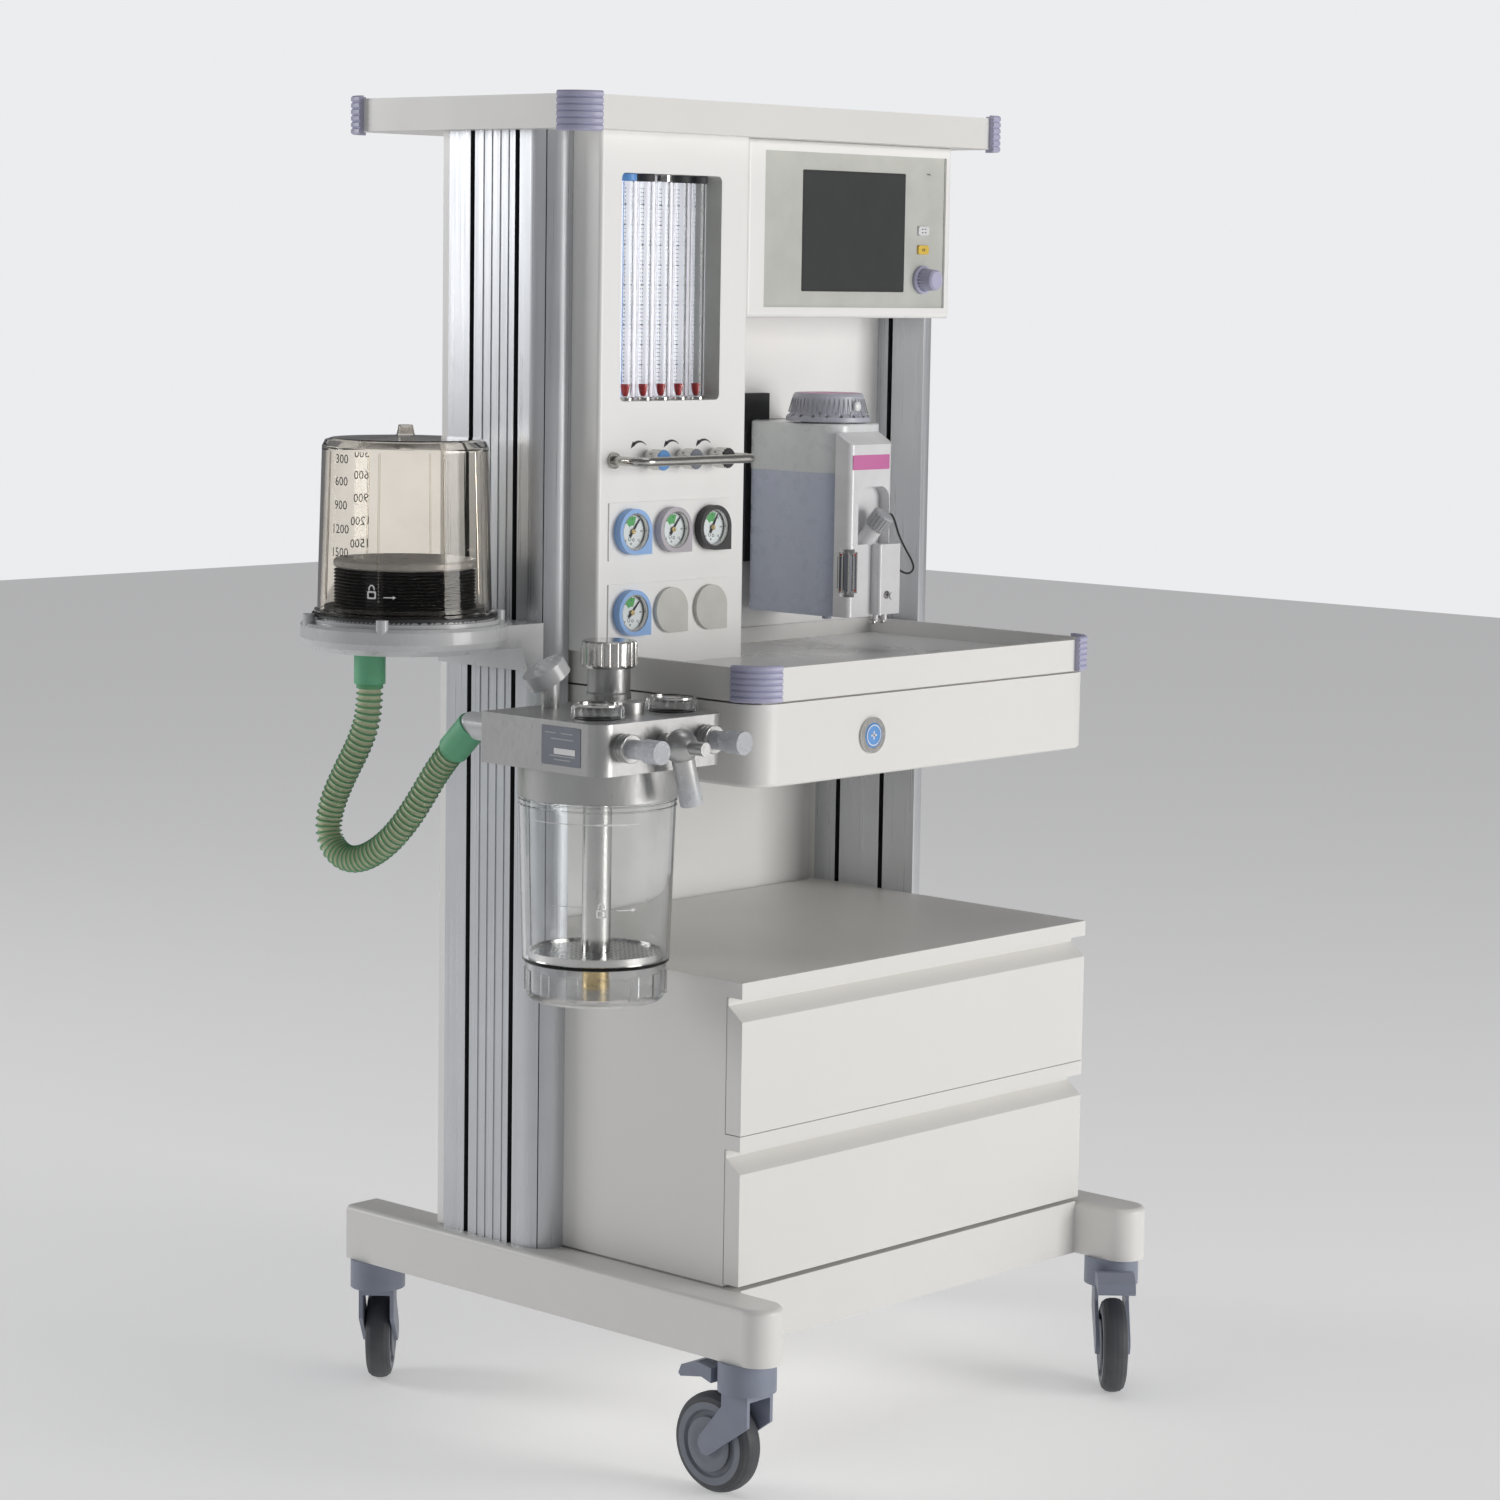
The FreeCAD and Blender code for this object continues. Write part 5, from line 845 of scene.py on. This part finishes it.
def vaporizer_marks():
    """The dial's ticks, figures and catch, the plain label, level window, screw and drains."""
    foot = np.array([84.0, 16.5, 1031.0])
    angle = np.radians(np.arange(0, 360, 7.5))
    outward = spokes(angle)
    sideways = np.cross(UP, outward)
    slope = outward * (-8 / 30) + UP
    low = foot + outward * 43.1 + UP * 5.6
    tall = np.where(np.arange(48) % 2, 1.0, 1.9)[:, None]
    ticks = blocks(low, sideways * 0.28, slope * tall, outward * 0.25)
    grips = blocks(foot + outward * 39.9 + UP * 17.5, sideways * 0.35, slope * 7.5, outward * 0.4)
    figures = []
    for number, where in enumerate(np.radians(np.arange(-150, 60, 22.5))):
        facing = np.array([math.cos(where), math.sin(where), 0])
        at = (foot + facing * 42.4 + UP * 9.9 + ORIGIN) / 1000
        figures.append(lettering(str(number), 5.0, at, np.cross(UP, facing), UP, 42.4))
    piece("dial_ticks", [ticks], print_dark, "vaporizer_dial")
    piece("dial_figures", figures, print_dark, "vaporizer_dial")
    piece("dial_grips", [grips], cap_grey, "vaporizer_dial")
    rim = [(32.6, 0), (35.2, 0), (35.2, 0.5), (33.9, 0.9), (32.6, 0.5)]
    ring = hoop(rim, (foot + UP * 29.8 + ORIGIN) / 1000, steps=64)
    piece("dial_rim", [ring], dial_lilac, "vaporizer_dial")
    catch = [(0, -1.5), (5.2, -1.5), (5.2, 1.2), (4.4, 2.2), (2.5, 2.9), (0, 3.1)]
    piece("dial_catch", [turned(catch, spot(84, -23.8, 1048.5), -BACK, 32)], white_gloss, "vaporizer_dial")
    label = slab(rounded_outline(58, 15.4, 1.2), spot(76.2, -52, 991.6), *FRONT, 0.35)
    piece("vaporizer_label", [label], magenta, "vaporizer")
    corner = np.array([(43.5, -36, 876.7), (43.5, -44, 876.7), (43.5, -50.5, 876.7), (45.0, -52, 876.7),
                       (50, -52, 876.7), (57, -52, 876.7)])
    out = np.array([-0.7, -0.7, 0])
    piece("level_window_frame", [ribbon(corner, np.full(6, 24.2), out, 0.9)], hub_grey, "vaporizer", 60)
    bars = [(43.5 - 0.9, y, 877) for y in (-39.5, -44.5)] + [(43.9, -51.7, 877)] + \
           [(x, -52.9, 877) for x in (49.0, 54.2)]
    piece("level_window_bars", [blocks(bars, 0.9 * RIGHT, 0.9 * BACK, 21.5 * UP)], steel, "vaporizer")
    marks = [(x, y, z) for x, y in ((42.6, -42.0), (51.6, -52.9)) for z in (858.5, 895.5)]
    piece("level_window_marks", [blocks(marks, 0.8 * RIGHT, 0.8 * BACK, 0.9 * UP)], float_red, "vaporizer")
    head = [(0, -1), (4.2, -1), (4.2, 0.8), (3.5, 1.3), (0, 1.4)]
    piece("drain_screw", [turned(head, spot(90.5, -64, 853), -BACK, 32)], steel, "vaporizer")
    piece("drain_screw_cross", plus_sign([(90.5, -65.4, 853)], 2.6, 0.5), print_dark, "vaporizer")
    drain = [(0, 0), (2.2, 0), (3.4, 1.2), (3.4, 4.4), (2.4, 5.4), (2.4, 8.4), (0, 8.4)]
    piece("drains", [turned(drain, spot(x, -50, 821.6), steps=28) for x in (86, 101)], steel, "vaporizer")


# ------------------------------------------------------------------ bellows and breathing side

def spokes(angle):
    """Level directions out from an upright axis, at angles from +X."""
    return np.stack([np.cos(angle), np.sin(angle), np.zeros_like(angle)], -1)


def wall_band(line, side, out):
    """A thin printed band along a line on a wall, reaching one side-vector above and below it."""
    ring = np.stack([line - side, line + side, line + side + out * 0.2, line - side + out * 0.2], 1)
    points, faces = grid((ring + ORIGIN) / 1000, wrap_columns=True)
    end = len(points) - 1
    return points, np.concatenate([faces, [[0, 1, 2, 3], [end, end - 1, end - 2, end - 3]]])


def facing(azimuth):
    """The outward and the rightward direction on an upright wall, at an azimuth in degrees from +X."""
    out = np.array([math.cos(math.radians(azimuth)), math.sin(math.radians(azimuth)), 0])
    return out, np.cross(UP, out)


def padlock(at, right, size, radius):
    """A small open padlock: a square body, a round hole and a bent shackle, as printed outlines."""
    out = np.cross(right, UP)
    body = slab(rounded_outline(size, size * 0.85, size * 0.12, 4), (at + ORIGIN) / 1000, right, UP,
                0.2, 0.05, rounded_outline(size * 0.66, size * 0.5, size * 0.1, 4))
    bend = np.radians(np.linspace(200, -10, 20))
    bow = np.cos(bend)[:, None] * right + np.sin(bend)[:, None] * UP * 1.4
    line = at + UP * size * 0.62 + size * 0.3 * bow
    return [body, ribbon(line, np.full(20, size * 0.07), out, 0.2)]


def arrow_around(centre, radius, height, start, end, wide):
    """A printed line round a wall that ends in an arrow head; angles in degrees from +X."""
    angle = np.radians(np.linspace(start, end, 24))
    line = np.stack([centre[0] + radius * np.cos(angle), centre[1] + radius * np.sin(angle),
                     np.full(24, height)], -1)
    widths = np.full(24, wide)
    widths[-6:] = np.linspace(wide * 3.4, 0.05, 6)
    return wall_band(line, UP * widths[:, None], spokes(angle))


def dome_prints():
    """Volume figures on two sides of the dome, its moulded ribs, and the lock sign at its foot."""
    figures = []
    levels = {"300": 1001, "600": 979.5, "900": 956.5, "1200": 933.5, "1500": 911}
    for azimuth in (179, 81):
        out, right = facing(azimuth)
        for text, level in levels.items():
            radius = 86 - 5.5 * (level - 857) / 163 + 0.1
            at = (np.array([*BELLOWS, level]) + out * radius + ORIGIN) / 1000
            figures.append(lettering(text, 12.5, at, right, UP, radius))
    piece("dome_figures", figures, print_dark, "bellows_dome", 60)
    ribs = []
    for azimuth in (30, 75, 120, 165, 210, 255, 300, 345):
        out, right = facing(azimuth)
        upward = UP - out * 5.5 / 163
        middle = np.array([*BELLOWS, 936]) + out * (86 - 5.5 * 79 / 163)
        ribs.append(blocks(middle, right * 0.9, upward * 72, out * 0.5))
    piece("dome_ribs", ribs, smoky, "bellows_dome")
    out, right = facing(206)
    at = np.array([*BELLOWS, 872]) + out * 85.8
    piece("dome_lock_sign", padlock(at, right, 9.0, 86) + [arrow_around(BELLOWS, 85.9, 870, 214, 222, 0.5)],
          print_pale, "bellows_dome")
    seat = [(86.6, 0), (91.2, 0), (91.2, 2.2), (90.0, 3.2), (89.6, 3.2), (89.6, 1.0), (86.6, 1.0)]
    piece("dome_gasket", [hoop(seat, spot(*BELLOWS, 846), steps=96)], black, "frame")


def bellows_pleats():
    """Rubber whose radius swells once a pleat, 63.5 + 6.3 * |sine| to a power."""
    pleats, foot, top = 11, 856.0, 892.3
    share = np.linspace(0, 1, pleats * 10 + 1)
    radius = 63.5 + 6.3 * abs(np.sin(math.pi * pleats * share)) ** 0.7
    profile = [(0, 0), *zip(radius, share * (top - foot)), (0, top - foot)]
    rubber = piece("bellows_pleats", [turned(profile, spot(*BELLOWS, foot), steps=72)], folds_black, None,
                   60)
    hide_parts("bellows_folds")
    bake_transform(rubber)


def block_plate():
    """A grey rating plate with blank bars for its lettering, the valves' rings and the ports' collars."""
    left = (-BACK, UP)
    plate = slab(rounded_outline(52, 37, 1.5), spot(-461, -141, 744.5), *left, 0.5)
    piece("rating_plate", [plate], hub_grey, "frame")
    lines = ((-8, 12), (14, 12), (-2, 6.5), (-2, -9.5), (-2, -13))
    rows = [(-461.6, -141 + shift, 744.5 + level) for shift, level in lines]
    wide = np.array([[8], [7], [15], [17], [11]])
    piece("rating_plate_lines", [blocks(rows, wide * BACK, 0.08 * RIGHT, 0.5 * UP)], cap_grey, "frame")
    bars = [(-461.6, -146, 739.5)]
    piece("rating_plate_bar", [blocks(bars, 14 * BACK, 0.08 * RIGHT, 2.8 * UP)], print_pale, "frame")
    valves = [spot(x, -148, 780.6) for x in (-420, -320)]
    rings = [hoop([(20.5, 0), (23.0, 0), (23.0, 1.6), (20.5, 1.6)], at) for at in valves]
    discs = [turned([(0, 0), (9, 0), (9, 0.8), (7.6, 1.4), (0, 1.4)], at, steps=32) for at in valves]
    piece("valve_rings", rings, steel, "frame")
    piece("valve_buttons", discs, steel, "frame")
    band = [(12.9, -1.1), (13.7, -0.8), (13.7, 0.8), (12.9, 1.1)]
    collar = [hoop(band, spot(x, depth, 745.5), -BACK, 40)
              for x in (-432, -320) for depth in (-196, -200.5, -205)]
    piece("port_collar_rings", collar, satin, "frame")


def canister_prints():
    """Level lines, the lock sign and its arrow on the bowl, and bright lips round its mouth."""
    def wall(level):
        """The bowl's outer radius at a level."""
        return 71 + 5 * (level - 527) / 159.5 + 0.1

    def level_line(level, start, end, wide):
        """A printed line round the bowl between two angles."""
        angle = np.radians(np.linspace(start, end, 32))
        out = spokes(angle)
        return wall_band(np.array([*ABSORBER, level]) + out * wall(level), UP * wide, out)

    out, right = facing(228.5)
    at = np.array([*ABSORBER, 583]) + out * wall(583)
    prints = [level_line(668, 174, 257, 0.4), level_line(668, 224, 247, 0.9), level_line(589, 190, 214, 0.35),
              arrow_around(ABSORBER, wall(586), 586, 240, 256, 0.5), *padlock(at, right, 9.5, 73)]
    piece("canister_prints", prints, print_pale, "canister")
    lips = [hoop([(radius, -0.9), (radius + 1.0, -0.5), (radius + 1.0, 0.5), (radius, 0.9)],
                 spot(*ABSORBER, level), steps=96) for level, radius in ((684.4, 75.7), (679.5, 75.5))]
    piece("canister_lips", lips, clear, "canister")


# ------------------------------------------------------------------ small fittings all round

def handwheel_lugs():
    """Shallow clear lugs set evenly round the rim of the handwheel."""
    lugs = []
    for where in np.linspace(0, TURN, 14, endpoint=False):
        out = np.array([math.cos(where), math.sin(where), 0])
        middle = np.array([*ABSORBER, 508]) + out * 68.0
        lugs.append(blocks(middle, np.cross(UP, out) * 5.5, UP * 11.5, out * 0.9))
    piece("handwheel_lugs", lugs, ribbed_clear, "handwheel")


def rear_details():
    """Louvres and screws on the service cover."""
    slots = [(x, 202.0, z) for x in (-150, 0, 150) for z in np.arange(900, 990, 9)]
    piece("rear_louvres", [blocks(slots, 52 * RIGHT, 0.25 * BACK, 1.6 * UP)], print_dark, "frame")
    hoods = [(x, 202.6, z + 2.2) for x, _, z in slots]
    piece("rear_louvre_hoods", [blocks(hoods, 53 * RIGHT, 0.6 * BACK, 0.7 * UP)], panel, "frame")
    head = [(0, -0.6), (4.2, -0.6), (4.2, 0.7), (3.2, 1.7), (0, 2.0)]
    places = [(x, z) for x in (-245, 245) for z in (720, 1010, 1300)]
    piece("rear_screws", [turned(head, spot(x, 202, z), BACK, 24) for x, z in places], steel, "frame")
    cross = [(x, 203.95, z) for x, z in places]
    piece("rear_screw_slots", plus_sign(cross, 2.4, 0.45), print_dark, "frame")


def wheel_caps():
    """Stepped covers on both faces of each wheel."""
    cap = [(0, -1.0), (27, -1.0), (27, 0.3), (25.5, 0.8), (18, 0.9), (17, 0.5), (10.5, 0.5), (10, 1.3),
           (0, 1.5)]
    for name in CASTERS:
        middle, axle = wheel_middle(name)
        caps = [turned(cap, (middle + side * 14 * axle + ORIGIN) / 1000, side * axle, 48) for side in (-1, 1)]
        piece("wheel_caps_" + name, caps, hub_grey, "wheel_" + name)


def flush_trim():
    """A pale ring let into the flush button's face and a small plus sign."""
    band = [(9.6, 0), (10.6, 0), (10.6, 0.25), (9.6, 0.25)]
    ring = hoop(band, spot(-93.5, -209.4, 732.5), -BACK)
    plus = plus_sign([(-93.5, -209.45, 732.5)], 4.2, 0.9, 0.12)
    piece("flush_print", [ring, *plus], print_pale, "flush_button")


dress_trolley()
dress_panels()
dress_breathing_side()
flow_scales()
turn_arrows()
gauge_cards()
display_marks()
vaporizer_marks()
dome_prints()
bellows_pleats()
block_plate()
canister_prints()
handwheel_lugs()
rear_details()
wheel_caps()
flush_trim()
